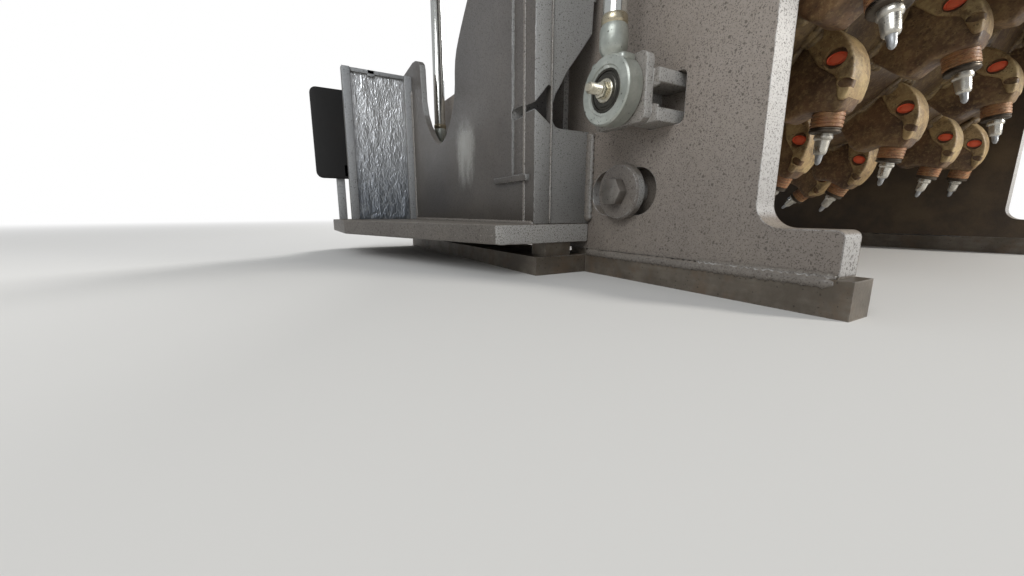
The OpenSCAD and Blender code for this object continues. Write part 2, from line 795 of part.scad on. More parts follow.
// Hold-down ahead of the drum, which hangs from the front wall
module hold_down_arms() {
    arm_t = 40;
    color("dimgray") at_axis() for (x = [-arm_x, arm_x]) plate_yz(x - arm_t / 2, arm_t)
        difference() {
            union() {
                translate([hold_y, hold_z]) circle(30);
                polygon([[hold_y - 30, hold_z], [hold_y + 30, hold_z], [hold_y + 60, 60],
                    [hold_y + 10, 60]]);
            }
            translate([hold_y, hold_z]) circle(14 + fit);
        }
}

module hold_down_shoe() {
    half = wall_in - 20;
    color("dimgray") at_axis() translate([-half, hold_y + 60 , 30])
        cube([2 * half, hold_t, hold_h]);
}

drum_tube();
pick_holders();
picks();
ejectors();
wall_left();
wall_right();
drum_cover();
front_wall();
beam_left();
beam_right();
cross_beams();
drive_hub();
bearing_hub();
guides_left();
guides_right();
lift_barrels_left();
lift_barrels_right();
spray_bar();
plate_left();
runner_left();
shoe_left();
skid_left();
box_left();
u_wall_left();
panel_left();
rod_lug_left();
lift_rods_left();
slot_bolt_left();
flap_left();
plate_right();
runner_right();
shoe_right();
skid_right();
box_right();
u_wall_right();
panel_right();
rod_lug_right();
lift_rods_right();
slot_bolt_right();
flap_right();
scraper_blade();
scraper_barrels();
scraper_rods();
scraper_plate();
scraper_guides();
hold_down_brackets();
hold_down_arms();
hold_down_shoe();
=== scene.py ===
import json
import math
import random

import bmesh
import bpy
from mathutils import Matrix, Vector, noise


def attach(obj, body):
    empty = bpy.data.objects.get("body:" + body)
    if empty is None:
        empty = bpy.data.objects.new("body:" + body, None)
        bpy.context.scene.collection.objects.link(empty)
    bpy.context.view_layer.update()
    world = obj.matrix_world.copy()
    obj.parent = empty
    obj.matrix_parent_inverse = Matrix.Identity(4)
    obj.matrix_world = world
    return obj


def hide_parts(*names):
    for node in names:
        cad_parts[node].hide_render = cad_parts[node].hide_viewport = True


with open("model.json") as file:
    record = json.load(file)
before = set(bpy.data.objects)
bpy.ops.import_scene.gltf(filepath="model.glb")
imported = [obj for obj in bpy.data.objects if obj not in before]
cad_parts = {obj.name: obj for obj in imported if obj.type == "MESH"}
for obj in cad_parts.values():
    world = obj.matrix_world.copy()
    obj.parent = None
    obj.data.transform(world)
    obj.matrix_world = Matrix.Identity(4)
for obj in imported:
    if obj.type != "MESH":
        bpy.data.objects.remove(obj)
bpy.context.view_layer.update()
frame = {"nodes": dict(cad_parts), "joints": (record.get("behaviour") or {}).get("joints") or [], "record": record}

# Camera, at the photograph's viewing angle: low behind the left side plate, looking forward and right
CAMERA_AT = (-1.024, -0.6005, 0.100)
CAMERA_YAW = 29.97
CAMERA_PITCH = -10.885
LENS_MM = 13.71
SENSOR_MM = 36.0

# Driving dimensions in millimetres and degrees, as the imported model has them
AXIS = Vector(next(j["pos_m"] for j in frame["joints"] if j["name"] == "drum_spin"))
AXIS_Z = AXIS.z * 1000
MILL_W = 1000
CUT_R = 440
TUBE_R = 300
WASHER_R = 18.5
LINE_W = 16.8
LINES_RIGHT = 47
GATHER_X = -404
TOOL_STEP = -37.67
DRUM_PHASE = 81
ATTACK = 53
END_TOOLS = 7
END_TURN = 228.5
END_LEAN = 10

# Faces and places of the left side in the same millimetres, which the right side mirrors
PLATE_X = -573
BOX_X, BOX_INNER, BOX_TOP = -685, -655, 640
SKID_LOW, SKID_TOP = 53, 83
PANEL_TOP = 466
RODS = ((-635, -107), (-614, 600))
EYE_Z = 256
SLOT_BOLT = (PLATE_X, -78, 131)
OUT = (-1, 0, 0)

# Faces that meet at less than this angle are shaded smooth
SMOOTH_ANGLE = 38


# Camera and light

def add_object(name, data):
    made = bpy.data.objects.new(name, data)
    bpy.context.scene.collection.objects.link(made)
    return made


def add_camera():
    data = bpy.data.cameras.new("camera")
    data.lens = LENS_MM
    data.sensor_width = SENSOR_MM
    data.clip_start = 0.01
    camera = add_object("camera", data)
    camera.location = CAMERA_AT
    camera.rotation_euler = (math.radians(90 + CAMERA_PITCH), 0, math.radians(-CAMERA_YAW))
    bpy.context.scene.camera = camera


def add_lamp(name, at, target, size, power, colour):
    data = bpy.data.lights.new(name, "AREA")
    data.shape = "DISK"
    data.size = size
    data.energy = power
    data.color = colour
    lamp = add_object(name, data)
    lamp.location = at
    lamp.rotation_euler = (Vector(target) - Vector(at)).to_track_quat("-Z", "Y").to_euler()


# Shader node graphs

class Graph:
    """Adds nodes to a material or a node group, with values or other nodes' outputs as inputs"""

    def __init__(self, tree):
        self.tree = tree

    def add(self, kind, inputs=None, **settings):
        node = self.tree.nodes.new("ShaderNode" + kind)
        for key, value in settings.items():
            setattr(node, key, value)
        for key, value in (inputs or {}).items():
            if isinstance(value, bpy.types.NodeSocket):
                self.tree.links.new(value, node.inputs[key])
            else:
                node.inputs[key].default_value = value
        return node

    def maths(self, operation, *values):
        return self.add("Math", dict(enumerate(values)), operation=operation).outputs[0]

    def times(self, first, second):
        return self.maths("MULTIPLY", first, second)

    def plus(self, first, second):
        return self.maths("ADD", first, second)

    def ramp(self, value, low, high, to_low=0.0, to_high=1.0):
        limits = {"Value": value, "From Min": low, "From Max": high, "To Min": to_low, "To Max": to_high}
        return self.add("MapRange", limits, interpolation_type="SMOOTHSTEP").outputs[0]

    def mix(self, share, first, second):
        return self.add("Mix", {0: share, 6: first, 7: second}, data_type="RGBA").outputs[2]

    def layer(self, colour, mask, share, top):
        """The colour, with a share of another one over it where the mask is"""
        return self.mix(self.times(mask, share), colour, top)

    def noise(self, vector, scale, detail, roughness=0.55):
        values = {"Vector": vector, "Scale": scale, "Detail": detail, "Roughness": roughness}
        return self.add("TexNoise", values).outputs["Fac"]

    def place(self, scale=(1, 1, 1), location=(0, 0, 0)):
        where = self.add("TexCoord").outputs["Object"]
        return self.add("Mapping", {"Vector": where, "Scale": scale, "Location": location}).outputs[0]

    def axis(self, vector, letter):
        return self.add("SeparateXYZ", {"Vector": vector}).outputs[letter]

    def facing(self, letter):
        """How much the surface looks along an axis"""
        return self.axis(self.add("NewGeometry").outputs["Normal"], letter)

    def bump(self, height, strength, distance, **more):
        values = {"Height": height, "Strength": strength, "Distance": distance, **more}
        return self.add("Bump", values).outputs[0]


def paint(red, green, blue):
    """Linear colour of an sRGB colour given in 0 to 255"""
    shares = [c / 255 for c in (red, green, blue)]
    return (*[c / 12.92 if c < 0.04045 else ((c + 0.055) / 1.055) ** 2.4 for c in shares], 1.0)


def shader_group(name, inputs, output):
    tree = bpy.data.node_groups.new(name, "ShaderNodeTree")
    for label, value in inputs.items():
        socket = tree.interface.new_socket(name=label, in_out="INPUT", socket_type="NodeSocketFloat")
        socket.default_value = value
    tree.interface.new_socket(name=output, in_out="OUTPUT", socket_type="NodeSocketFloat")
    entry = tree.nodes.new("NodeGroupInput")
    leave = tree.nodes.new("NodeGroupOutput")
    return Graph(tree), entry.outputs, leave.inputs[output]


def speck_group():
    """Splashed specks: dots of uneven size in cells, of which a share is kept"""
    graph, given, out = shader_group("specks", {"Scale": 300.0, "Share": 0.4, "Size": 0.35}, "Mask")
    where = graph.place()
    bent = graph.add("TexNoise", {"Vector": where, "Scale": 900.0, "Detail": 1.0})
    shift = graph.add("VectorMath", {0: bent.outputs["Color"], "Scale": 0.0016}, operation="SCALE")
    moved = graph.add("VectorMath", {0: where, 1: shift.outputs[0]}, operation="ADD")
    cells = graph.add("TexVoronoi", {"Vector": moved.outputs[0], "Scale": given["Scale"]})
    chance = graph.add("SeparateColor", {"Color": cells.outputs["Color"]})
    kept = graph.maths("LESS_THAN", chance.outputs[0], given["Share"])
    radius = graph.times(graph.times(chance.outputs[1], chance.outputs[1]), given["Size"])
    edge = graph.maths("SUBTRACT", radius, cells.outputs["Distance"])
    dot = graph.ramp(edge, 0.0, 0.10)
    graph.tree.links.new(graph.times(dot, kept), out)
    return graph.tree


def edge_group():
    """Wear mask along a piece's outer and inner edges, broken up by noise"""
    graph, given, out = shader_group("edge_wear", {"Radius": 0.003, "Break up": 120.0}, "Mask")
    bent = graph.add("Bevel", {"Radius": given["Radius"]}, samples=4).outputs[0]
    flat = graph.add("NewGeometry").outputs["Normal"]
    meet = graph.add("VectorMath", {0: bent, 1: flat}, operation="DOT_PRODUCT").outputs["Value"]
    edge = graph.ramp(meet, 0.99, 0.86)
    ragged = graph.ramp(graph.noise(graph.place(), given["Break up"], 3.0, 0.7), 0.38, 0.62)
    graph.tree.links.new(graph.times(edge, ragged), out)
    return graph.tree


def dust_group():
    """Dust that settles on faces that look up, and blotches elsewhere"""
    graph, given, out = shader_group("dust", {"Upward": 0.8, "Blotch": 0.3, "Scale": 9.0}, "Mask")
    where = graph.place()
    lying = graph.times(graph.ramp(graph.facing("Z"), 0.35, 0.95), given["Upward"])
    cloud = graph.ramp(graph.noise(where, given["Scale"], 6.0, 0.65), 0.42, 0.72)
    fine = graph.noise(where, 140.0, 3.0, 0.7)
    patch = graph.times(graph.times(cloud, given["Blotch"]), graph.ramp(fine, 0.2, 0.7))
    total = graph.maths("MAXIMUM", graph.times(lying, graph.ramp(fine, 0.1, 0.6)), patch)
    graph.tree.links.new(total, out)
    return graph.tree


def grain_group():
    """Height of a rolled or cast surface: fine grain and slow waves"""
    graph, given, out = shader_group("grain", {"Fine": 650.0, "Slow": 40.0, "Share": 0.5}, "Height")
    where = graph.place()
    fine = graph.noise(where, given["Fine"], 3.0, 0.6)
    slow = graph.noise(where, given["Slow"], 4.0, 0.6)
    both = graph.add("Mix", {0: given["Share"], 2: fine, 3: slow}, data_type="FLOAT").outputs[0]
    graph.tree.links.new(both, out)
    return graph.tree


SPECKS = speck_group()
EDGES = edge_group()
DUST = dust_group()
GRAIN = grain_group()


def use(graph, tree, **values):
    node = graph.add("Group", node_tree=tree)
    for label, value in values.items():
        node.inputs[label.replace("_", " ")].default_value = value
    return node.outputs[0]


def start_material(name):
    material = bpy.data.materials.new(name)
    material.use_nodes = True
    material.node_tree.nodes.clear()
    return material, Graph(material.node_tree)


def finish_material(graph, **inputs):
    shader = graph.add("BsdfPrincipled", {key.replace("_", " "): value for key, value in inputs.items()})
    graph.add("OutputMaterial", {"Surface": shader.outputs[0]})


# Finishes: colours of dirt, wear, painted shade and painted glints, and the drum's space in metres from its axis
GROUND_SHADE = paint(44, 39, 33)
RUBBED = paint(188, 187, 180)
DARK_SPECK = paint(58, 51, 45)
PALE_SPECK = paint(168, 163, 154)
GREY_DUST = paint(158, 148, 134)
CAKE_DARK = paint(58, 45, 32)
CAKE_PALE = paint(88, 72, 50)
STEEL_SPECK = paint(40, 33, 28)
STEEL_EDGE = paint(150, 146, 140)
CAST_BLOT = paint(54, 36, 25)
CAST_EDGE = paint(196, 170, 132)
CAST_SPECK = paint(34, 26, 21)
CREASE_GLINT = paint(238, 240, 241)
COVER_R = 0.478
MOUTH_HALF = 0.492


def scuff_mask(graph, where, centre, radii):
    """Rubbed patch with torn edges, from its centre and radii in Y and Z"""
    side = graph.maths("DIVIDE", graph.maths("SUBTRACT", graph.axis(where, "Y"), AXIS.y + centre[0]), radii[0])
    rise = graph.maths("DIVIDE", graph.maths("SUBTRACT", graph.axis(where, "Z"), centre[1]), radii[1])
    reach = graph.plus(graph.times(side, side), graph.times(rise, rise))
    torn = graph.noise(graph.place(scale=(40, 40, 14)), 1.0, 6.0, 0.7)
    return graph.ramp(graph.plus(graph.times(reach, 0.5), torn), 0.95, 0.42)


def dirt_mask(graph, inner, drum_side):
    """What the milled dirt covers: all within a distance of the middle, or only what faces the drum's space"""
    from_axis = graph.place(location=(0, -AXIS.y, -AXIS.z))
    x, y, z = (graph.axis(from_axis, letter) for letter in "XYZ")
    dirty = graph.ramp(graph.maths("ABSOLUTE", x), inner + 0.0004, inner - 0.0004)
    if not drum_side:
        return dirty
    reach = graph.maths("SQRT", graph.plus(graph.times(y, y), graph.times(z, z)))
    mouth = graph.ramp(graph.maths("ABSOLUTE", y), MOUTH_HALF + 0.001, MOUTH_HALF - 0.001)
    below = graph.times(graph.ramp(z, 0.03, 0.0), mouth)
    round_drum = graph.maths("MAXIMUM", graph.ramp(reach, COVER_R + 0.001, COVER_R - 0.001), below)
    return graph.times(dirty, round_drum)


def plate_paint(name, base, dark, bare_and_lit, speck_share=0.45, wear=0.8, dust=0.5, gloss=0.42, scuff=None,
                low=0.25, inner=None, drum_side=False):
    """Satin paint on thick plate: slow colour change, drips, dark specks, worn edges and dust. Faces that
    look back are paler, partly painted light from behind and partly wear by the milled grit, and low is
    the share of painted shade near the ground"""
    material, graph = start_material(name)
    where = graph.place()
    slow = graph.ramp(graph.noise(where, 5.0, 5.0, 0.6), 0.35, 0.68)
    runs = graph.ramp(graph.noise(graph.place(scale=(30, 30, 3)), 1.6, 4.0, 0.6), 0.45, 0.72)
    mottle = graph.ramp(graph.noise(where, 190.0, 3.0, 0.7), 0.3, 0.7)
    colour = base
    for mask, share in ((slow, 0.55), (runs, 0.22), (mottle, 0.35)):
        colour = graph.layer(colour, mask, share, dark)
    # painted light: faces that look back are paler, as if lit from behind, and partly worn by the milled grit
    lit_and_blasted = graph.ramp(graph.times(graph.facing("Y"), -1.0), 0.75, 0.95)
    colour = graph.layer(colour, lit_and_blasted, 0.2 if drum_side else 0.68, bare_and_lit)
    # painted shade: darker towards the ground, as under the machine
    colour = graph.layer(colour, graph.ramp(graph.axis(where, "Z"), 0.30, 0.04), low, GROUND_SHADE)
    if scuff:
        rubbed = scuff_mask(graph, where, *scuff)
        colour = graph.layer(colour, rubbed, 0.6, RUBBED)
        gloss = graph.maths("SUBTRACT", gloss, graph.times(rubbed, 0.12))
    start = 0.60 - speck_share * 0.10
    fine = graph.ramp(graph.noise(where, 620.0, 2.0, 0.6), start, start + 0.06)
    specks = graph.maths("MAXIMUM", fine, use(graph, SPECKS, Scale=230.0, Share=speck_share, Size=0.48))
    colour = graph.layer(colour, specks, 0.66, DARK_SPECK)
    colour = graph.layer(colour, use(graph, SPECKS, Scale=420.0, Share=0.3, Size=0.45), 0.35, PALE_SPECK)
    edge = graph.times(use(graph, EDGES, Radius=0.0025, Break_up=90.0), wear)
    colour = graph.mix(edge, colour, bare_and_lit)
    grey_dust = graph.times(use(graph, DUST, Upward=0.8, Blotch=0.5, Scale=7.0), dust)
    colour = graph.mix(grey_dust, colour, GREY_DUST)
    if inner:
        caked = graph.mix(graph.ramp(graph.noise(where, 9.0, 6.0, 0.65), 0.35, 0.7), CAKE_DARK, CAKE_PALE)
        colour = graph.layer(colour, dirt_mask(graph, inner, drum_side), 0.93, caked)
    rough = graph.plus(gloss, graph.times(graph.plus(grey_dust, specks), 0.3))
    height = graph.plus(use(graph, GRAIN, Fine=800.0, Slow=60.0, Share=0.35), graph.times(specks, 0.35))
    softened = graph.add("Bevel", {"Radius": 0.0022}, samples=4).outputs[0]
    finish_material(graph, Base_Color=colour, Roughness=rough, Metallic=graph.times(edge, 0.8),
                    Normal=graph.bump(height, 0.22, 0.0006, Normal=softened))
    return material


def worn_steel(name, base, shade, rust, rust_share=0.4, metal=0.7, gloss=0.45, bump_depth=0.0012):
    """Bare wear steel with scratches along the travel, rust and ground-in dirt"""
    material, graph = start_material(name)
    where = graph.place()
    slow = graph.ramp(graph.noise(where, 14.0, 6.0, 0.65), 0.32, 0.66)
    streak = graph.ramp(graph.noise(graph.place(scale=(120, 6, 120)), 1.5, 4.0, 0.6), 0.4, 0.7)
    colour = graph.mix(slow, base, shade)
    colour = graph.layer(colour, streak, 0.35, shade)
    patch = graph.times(graph.ramp(graph.noise(where, 22.0, 7.0, 0.7), 0.47, 0.62), rust_share)
    colour = graph.mix(patch, colour, rust)
    specks = use(graph, SPECKS, Scale=330.0, Share=0.5, Size=0.42)
    colour = graph.layer(colour, specks, 0.6, STEEL_SPECK)
    edge = use(graph, EDGES, Radius=0.003, Break_up=60.0)
    colour = graph.layer(colour, edge, 0.5, STEEL_EDGE)
    rough = graph.plus(gloss, graph.times(patch, 0.35))
    height = graph.plus(use(graph, GRAIN, Fine=420.0, Slow=45.0, Share=0.5), graph.times(specks, 0.3))
    bump = graph.bump(height, 0.45, bump_depth)
    shine = graph.times(graph.maths("SUBTRACT", 1.0, patch), metal)
    finish_material(graph, Base_Color=colour, Roughness=rough, Metallic=shine, Normal=bump)
    return material


def rusty_cast(name, base, rust, dusty, dust=0.8):
    """Rusty cast steel of the drum and its holders, with dried milling dust in the hollows"""
    material, graph = start_material(name)
    where = graph.place()
    slow = graph.ramp(graph.noise(where, 11.0, 6.0, 0.65), 0.36, 0.64)
    colour = graph.mix(slow, base, rust)
    blot = graph.ramp(graph.noise(where, 48.0, 6.0, 0.75), 0.45, 0.62)
    colour = graph.layer(colour, blot, 0.6, CAST_BLOT)
    grit = graph.ramp(graph.noise(where, 170.0, 4.0, 0.75), 0.5, 0.62)
    colour = graph.layer(colour, grit, 0.45, dusty)
    cover = graph.times(use(graph, DUST, Upward=0.55, Blotch=1.0, Scale=16.0), dust)
    colour = graph.mix(cover, colour, dusty)
    edge = use(graph, EDGES, Radius=0.0022, Break_up=110.0)
    colour = graph.layer(colour, edge, 0.55, CAST_EDGE)
    specks = use(graph, SPECKS, Scale=300.0, Share=0.5, Size=0.42)
    colour = graph.layer(colour, specks, 0.55, CAST_SPECK)
    rough = graph.plus(0.5, graph.times(cover, 0.35))
    height = graph.plus(use(graph, GRAIN, Fine=300.0, Slow=70.0, Share=0.6), graph.times(cover, 0.6))
    bump = graph.bump(height, 0.6, 0.0016)
    shine = graph.times(edge, 0.5)
    finish_material(graph, Base_Color=colour, Roughness=rough, Metallic=shine, Normal=bump)
    return material


def bright_metal(name, base, grime, roughness, grime_share=0.35):
    """Clean machined, chromed or zinc-plated metal with a film of grime"""
    material, graph = start_material(name)
    where = graph.place()
    film = graph.times(graph.ramp(graph.noise(where, 60.0, 5.0, 0.65), 0.42, 0.7), grime_share)
    colour = graph.mix(film, base, grime)
    brush = graph.noise(where, 500.0, 3.0, 0.6)
    brushed = graph.ramp(brush, 0.2, 0.8, roughness * 0.75, roughness * 1.3)
    rough = graph.plus(graph.times(film, 0.45), brushed)
    bump = graph.bump(brush, 0.15, 0.0003)
    shine = graph.maths("SUBTRACT", 1.0, graph.times(film, 0.8))
    finish_material(graph, Base_Color=colour, Roughness=rough, Metallic=shine, Normal=bump)
    return material


def rubber(name, base, dusty):
    material, graph = start_material(name)
    cover = use(graph, DUST, Upward=0.6, Blotch=0.45, Scale=12.0)
    colour = graph.layer(base, cover, 0.6, dusty)
    height = use(graph, GRAIN, Fine=700.0, Slow=25.0, Share=0.5)
    bump = graph.bump(height, 0.35, 0.0008)
    rough = graph.plus(0.62, graph.times(cover, 0.25))
    finish_material(graph, Base_Color=colour, Roughness=rough, Normal=bump)
    return material


def creased_foil(name, base, shade):
    """Reflective sheet with fine sharp upright crease lines. Its colour holds a painted reflection, bright
    towards its top and blue-grey below, and painted glints along each crease
    """
    material, graph = start_material(name)
    where = graph.place()
    bent = graph.place(scale=(1, 1, 0.42))
    ridge = graph.maths("ABSOLUTE", graph.maths("SUBTRACT", graph.noise(bent, 85.0, 2.0, 0.5), 0.5))
    small = graph.maths("ABSOLUTE", graph.maths("SUBTRACT", graph.noise(bent, 230.0, 1.0, 0.5), 0.5))
    height = graph.plus(ridge, graph.times(small, 0.4))
    bump = graph.bump(height, 0.9, 0.006)
    # painted glints: near-white lines along each crease
    crease_glints = graph.ramp(ridge, 0.05, 0.0)
    # painted reflection: lighter towards the top, blue-grey towards the bottom
    up = graph.ramp(graph.axis(where, "Z"), 0.08, 0.40)
    colour = graph.mix(up, shade, base)
    colour = graph.layer(colour, crease_glints, 0.3, CREASE_GLINT)
    rough = graph.ramp(graph.noise(where, 30.0, 3.0), 0.3, 0.7, 0.30, 0.46)
    finish_material(graph, Base_Color=colour, Roughness=rough, Metallic=0.8, Normal=bump)
    return material


PAINT = plate_paint("side_plate_paint", paint(154, 144, 135), paint(127, 117, 107), paint(206, 205, 203),
                    low=0.4, inner=0.538)
HOUSING_PAINT = plate_paint("housing_paint", paint(104, 99, 94), paint(82, 77, 72), paint(160, 160, 158),
                            speck_share=0.3, wear=0.7, dust=0.7, inner=0.513, drum_side=True)
LUG_PAINT = plate_paint("lug_paint", paint(146, 141, 135), paint(112, 106, 99), paint(196, 194, 190),
                        speck_share=0.35, wear=0.9, dust=0.4)
WASHER_PAINT = plate_paint("slot_washer_paint", paint(120, 113, 107), paint(104, 98, 92), paint(190, 190, 188),
                           speck_share=0.4, wear=0.9, dust=0.4)
FRAME_PAINT = plate_paint("panel_frame_paint", paint(132, 131, 129), paint(92, 90, 87), paint(186, 188, 190),
                          speck_share=0.25, wear=0.9, dust=0.3)
SKID_STEEL = plate_paint("skid_plate_paint", paint(122, 116, 109), paint(88, 82, 76), paint(210, 208, 204),
                         speck_share=0.6, wear=1.0, dust=0.4, low=0.3)
BOX_PAINT = plate_paint("box_wall_paint", paint(98, 93, 88), paint(75, 70, 66), paint(182, 182, 180),
                        speck_share=0.3, dust=0.25, gloss=0.34, scuff=((0.262, 0.222), (0.060, 0.085)), low=0.6)
WELD_PAINT = plate_paint("painted_weld", paint(132, 125, 117), paint(104, 97, 90), paint(196, 194, 190),
                         speck_share=0.5, wear=0.9, dust=0.3)
WEAR_STEEL = worn_steel("wear_steel", paint(116, 108, 97), paint(84, 76, 66), paint(98, 78, 58), metal=0.35)
DRUM_RUST = rusty_cast("drum_rust", paint(84, 64, 45), paint(58, 43, 31), paint(132, 110, 74))
DRUM_DUST = rusty_cast("drum_dust", paint(108, 88, 60), paint(74, 57, 40), paint(150, 128, 86), dust=1.0)
HOLDER_DARK = rusty_cast("holder_flank_rust", paint(112, 82, 55), paint(78, 56, 38), paint(150, 124, 84))
HOLDER_OCHRE = rusty_cast("holder_cheek_rust", paint(170, 142, 98), paint(128, 102, 68), paint(188, 166, 118))
NECK_RUST = rusty_cast("holder_neck_rust", paint(162, 108, 68), paint(122, 78, 50), paint(168, 130, 84),
                       dust=0.5)
PICK_STEEL = bright_metal("pick_steel", paint(206, 202, 192), paint(92, 76, 52), 0.28)
CARBIDE = bright_metal("pick_carbide", paint(176, 178, 180), paint(96, 84, 66), 0.36)
WASHER_STEEL = bright_metal("wear_washer_steel", paint(96, 88, 78), paint(58, 44, 32), 0.42, grime_share=0.7)
PLUG_ORANGE = rubber("plug_orange", paint(252, 112, 76), paint(206, 128, 88))
CHROME = bright_metal("rod_chrome", paint(228, 228, 222), paint(120, 112, 92), 0.10, grime_share=0.25)
ROD_BAND = bright_metal("rod_band", paint(190, 180, 156), paint(110, 96, 74), 0.30, grime_share=0.5)
EYE_CAST = worn_steel("rod_eye_cast", paint(200, 203, 194), paint(158, 162, 154), paint(112, 100, 80),
                      rust_share=0.15, metal=0.6, gloss=0.36, bump_depth=0.0006)
BEARING_STEEL = bright_metal("eye_bearing_steel", paint(86, 84, 78), paint(40, 36, 31), 0.34, grime_share=0.8)
BRIGHT_BOLT = bright_metal("bright_bolt", paint(214, 208, 190), paint(120, 106, 80), 0.24)
PIPE_ZINC = bright_metal("pipe_zinc", paint(176, 178, 176), paint(100, 96, 86), 0.32)
HUB_CAST = worn_steel("hub_cast", paint(98, 94, 88), paint(66, 62, 58), paint(92, 68, 50), rust_share=0.3)
BOLT_STEEL = worn_steel("bolt_steel", paint(150, 146, 140), paint(108, 102, 96), paint(110, 88, 70),
                        rust_share=0.2)
WELD_METAL = worn_steel("weld_metal", paint(140, 135, 129), paint(96, 90, 84), paint(92, 66, 48),
                        rust_share=0.25, gloss=0.4, bump_depth=0.0008)
# painted reflection in the foil's two colours: bright above, blue-grey below
FOIL = creased_foil("foil_panel", paint(238, 239, 240), paint(140, 146, 154))
RUBBER = rubber("flap_rubber", paint(18, 16, 15), paint(48, 44, 40))

SLOT_MATERIALS = {
    "wear_steel": WEAR_STEEL, "pipe_steel": PIPE_ZINC, "cast_hub": HUB_CAST, "drum_steel": DRUM_RUST,
    "holder_steel": HOLDER_OCHRE, "pick_steel": PICK_STEEL, "foil_panel": FOIL, "rod_chrome": CHROME,
    "bolt_steel": BOLT_STEEL, "flap_rubber": RUBBER,
}


def finish_cad_nodes():
    """Gives every carried-over node the finish of its slot"""
    body_of = {node: body for body, nodes in frame["record"]["behaviour"]["bodies"].items() for node in nodes}
    for row in frame["record"]["subparts"]:
        node = row["node"]
        plain = HOUSING_PAINT if body_of[node] in ("housing", "scraper", "hold_down") else PAINT
        mesh = frame["nodes"][node].data
        mesh.materials.clear()
        mesh.materials.append(SLOT_MATERIALS.get(row["material_slot"], plain))


# Making pieces, in millimetres from the ground under the drum's axis, X right and Y forward

def slab(outline, low, high, across, bevel, segments=2):
    """Plate: an outline in the plane across an axis, thickened along it, with bevelled edges"""
    bm = bmesh.new()
    places = {"X": lambda a, b: (low, a, b), "Y": lambda a, b: (a, low, b), "Z": lambda a, b: (a, b, low)}
    face = bm.faces.new([bm.verts.new(places[across](a, b)) for a, b in outline])
    made = bmesh.ops.extrude_face_region(bm, geom=[face])["geom"]
    shift = Vector([(high - low) if name == across else 0 for name in "XYZ"])
    bmesh.ops.translate(bm, vec=shift, verts=[v for v in made if isinstance(v, bmesh.types.BMVert)])
    bmesh.ops.recalc_face_normals(bm, faces=bm.faces)
    if bevel:
        bmesh.ops.bevel(bm, geom=bm.edges[:], offset=bevel, segments=segments, profile=0.5,
                        affect="EDGES", material=-1, clamp_overlap=True)
    return bm


def block(low, high, bevel, segments=2):
    """Square bar between two corners"""
    outline = [(low[0], low[1]), (high[0], low[1]), (high[0], high[1]), (low[0], high[1])]
    return slab(outline, low[2], high[2], "Z", bevel, segments)


def stand(bm, at, axis):
    """Turns a part that was made along Z to another axis, and moves it to its place"""
    turn = Vector((0, 0, 1)).rotation_difference(Vector(axis)).to_matrix().to_4x4()
    bmesh.ops.transform(bm, matrix=Matrix.Translation(at) @ turn, verts=bm.verts)


def turned(profile, at=(0, 0, 0), axis=(0, 0, 1), steps=32):
    """Turned part: a profile of (radius, height) pairs spun about an axis through a point"""
    bm = bmesh.new()
    verts = [bm.verts.new((radius, 0, height)) for radius, height in profile]
    edges = [bm.edges.new(pair) for pair in zip(verts, verts[1:])]
    bmesh.ops.spin(bm, geom=verts + edges, cent=(0, 0, 0), axis=(0, 0, 1), dvec=(0, 0, 0),
                   angle=math.tau, steps=steps, use_merge=True)
    bmesh.ops.remove_doubles(bm, verts=bm.verts, dist=0.001)
    bmesh.ops.recalc_face_normals(bm, faces=bm.faces)
    stand(bm, at, axis)
    return bm


def swept(points, radii, sides):
    """Bar along points, with a radius at each"""
    bm = bmesh.new()
    points = [Vector(p) for p in points]
    ring = bmesh.ops.create_circle(bm, cap_ends=True, segments=sides, radius=1.0)["verts"]
    edges = list({e for v in ring for e in v.link_edges})
    heading, before = Vector((0, 0, 1)), (Vector((0, 0, 0)), 1.0)
    for i, (at, radius) in enumerate(zip(points, radii)):
        along = (points[min(i + 1, len(points) - 1)] - points[max(i - 1, 0)]).normalized()
        if i:
            made = bmesh.ops.extrude_edge_only(bm, edges=edges)["geom"]
            ring = [v for v in made if isinstance(v, bmesh.types.BMVert)]
            edges = [e for e in made if isinstance(e, bmesh.types.BMEdge)]
        turn = heading.rotation_difference(along).to_matrix().to_4x4()
        size = Matrix.Scale(radius / before[1], 4)
        move = Matrix.Translation(at) @ turn @ size @ Matrix.Translation(-before[0])
        bmesh.ops.transform(bm, matrix=move, verts=ring)
        heading, before = along, (at, radius)
    bmesh.ops.holes_fill(bm, edges=edges, sides=0)
    bmesh.ops.recalc_face_normals(bm, faces=bm.faces)
    return bm


def weld(start, end, radius, pitch, seed, sides=8):
    """Rippled weld bead from start to end, half sunk in the corner that it fills"""
    dice = random.Random(seed)
    start, end = Vector(start), Vector(end)
    count = max(int((end - start).length / pitch), 3)
    points, radii = [], []
    for i in range(count + 1):
        wander = Vector([dice.uniform(-0.3, 0.3) for _ in range(3)])
        points.append(start.lerp(end, i / count) + wander)
        ripple = 0.45 if i in (0, count) else 1.0 + 0.13 * (-1) ** i + dice.uniform(-0.07, 0.07)
        radii.append(radius * ripple)
    return swept(points, radii, sides)


def hex_bolt(at, axis, flats, head, washer):
    """Hexagon head with chamfered corners on a round washer"""
    bm = bmesh.new()
    corner = flats / math.sqrt(3)
    bmesh.ops.create_cone(bm, cap_ends=True, segments=6, radius1=corner, radius2=corner, depth=head,
                          matrix=Matrix.Translation((0, 0, washer + head / 2)))
    bmesh.ops.bevel(bm, geom=bm.edges[:], offset=1.2, segments=2, profile=0.5, affect="EDGES", material=-1)
    stand(bm, at, axis)
    if washer:
        edge, round_off = flats * 0.95, 0.8
        ring = [(0, 0), (edge, 0), (edge, washer - round_off), (edge - round_off, washer), (0, washer)]
        put(bm, turned(ring, at, axis, 24))
    return bm


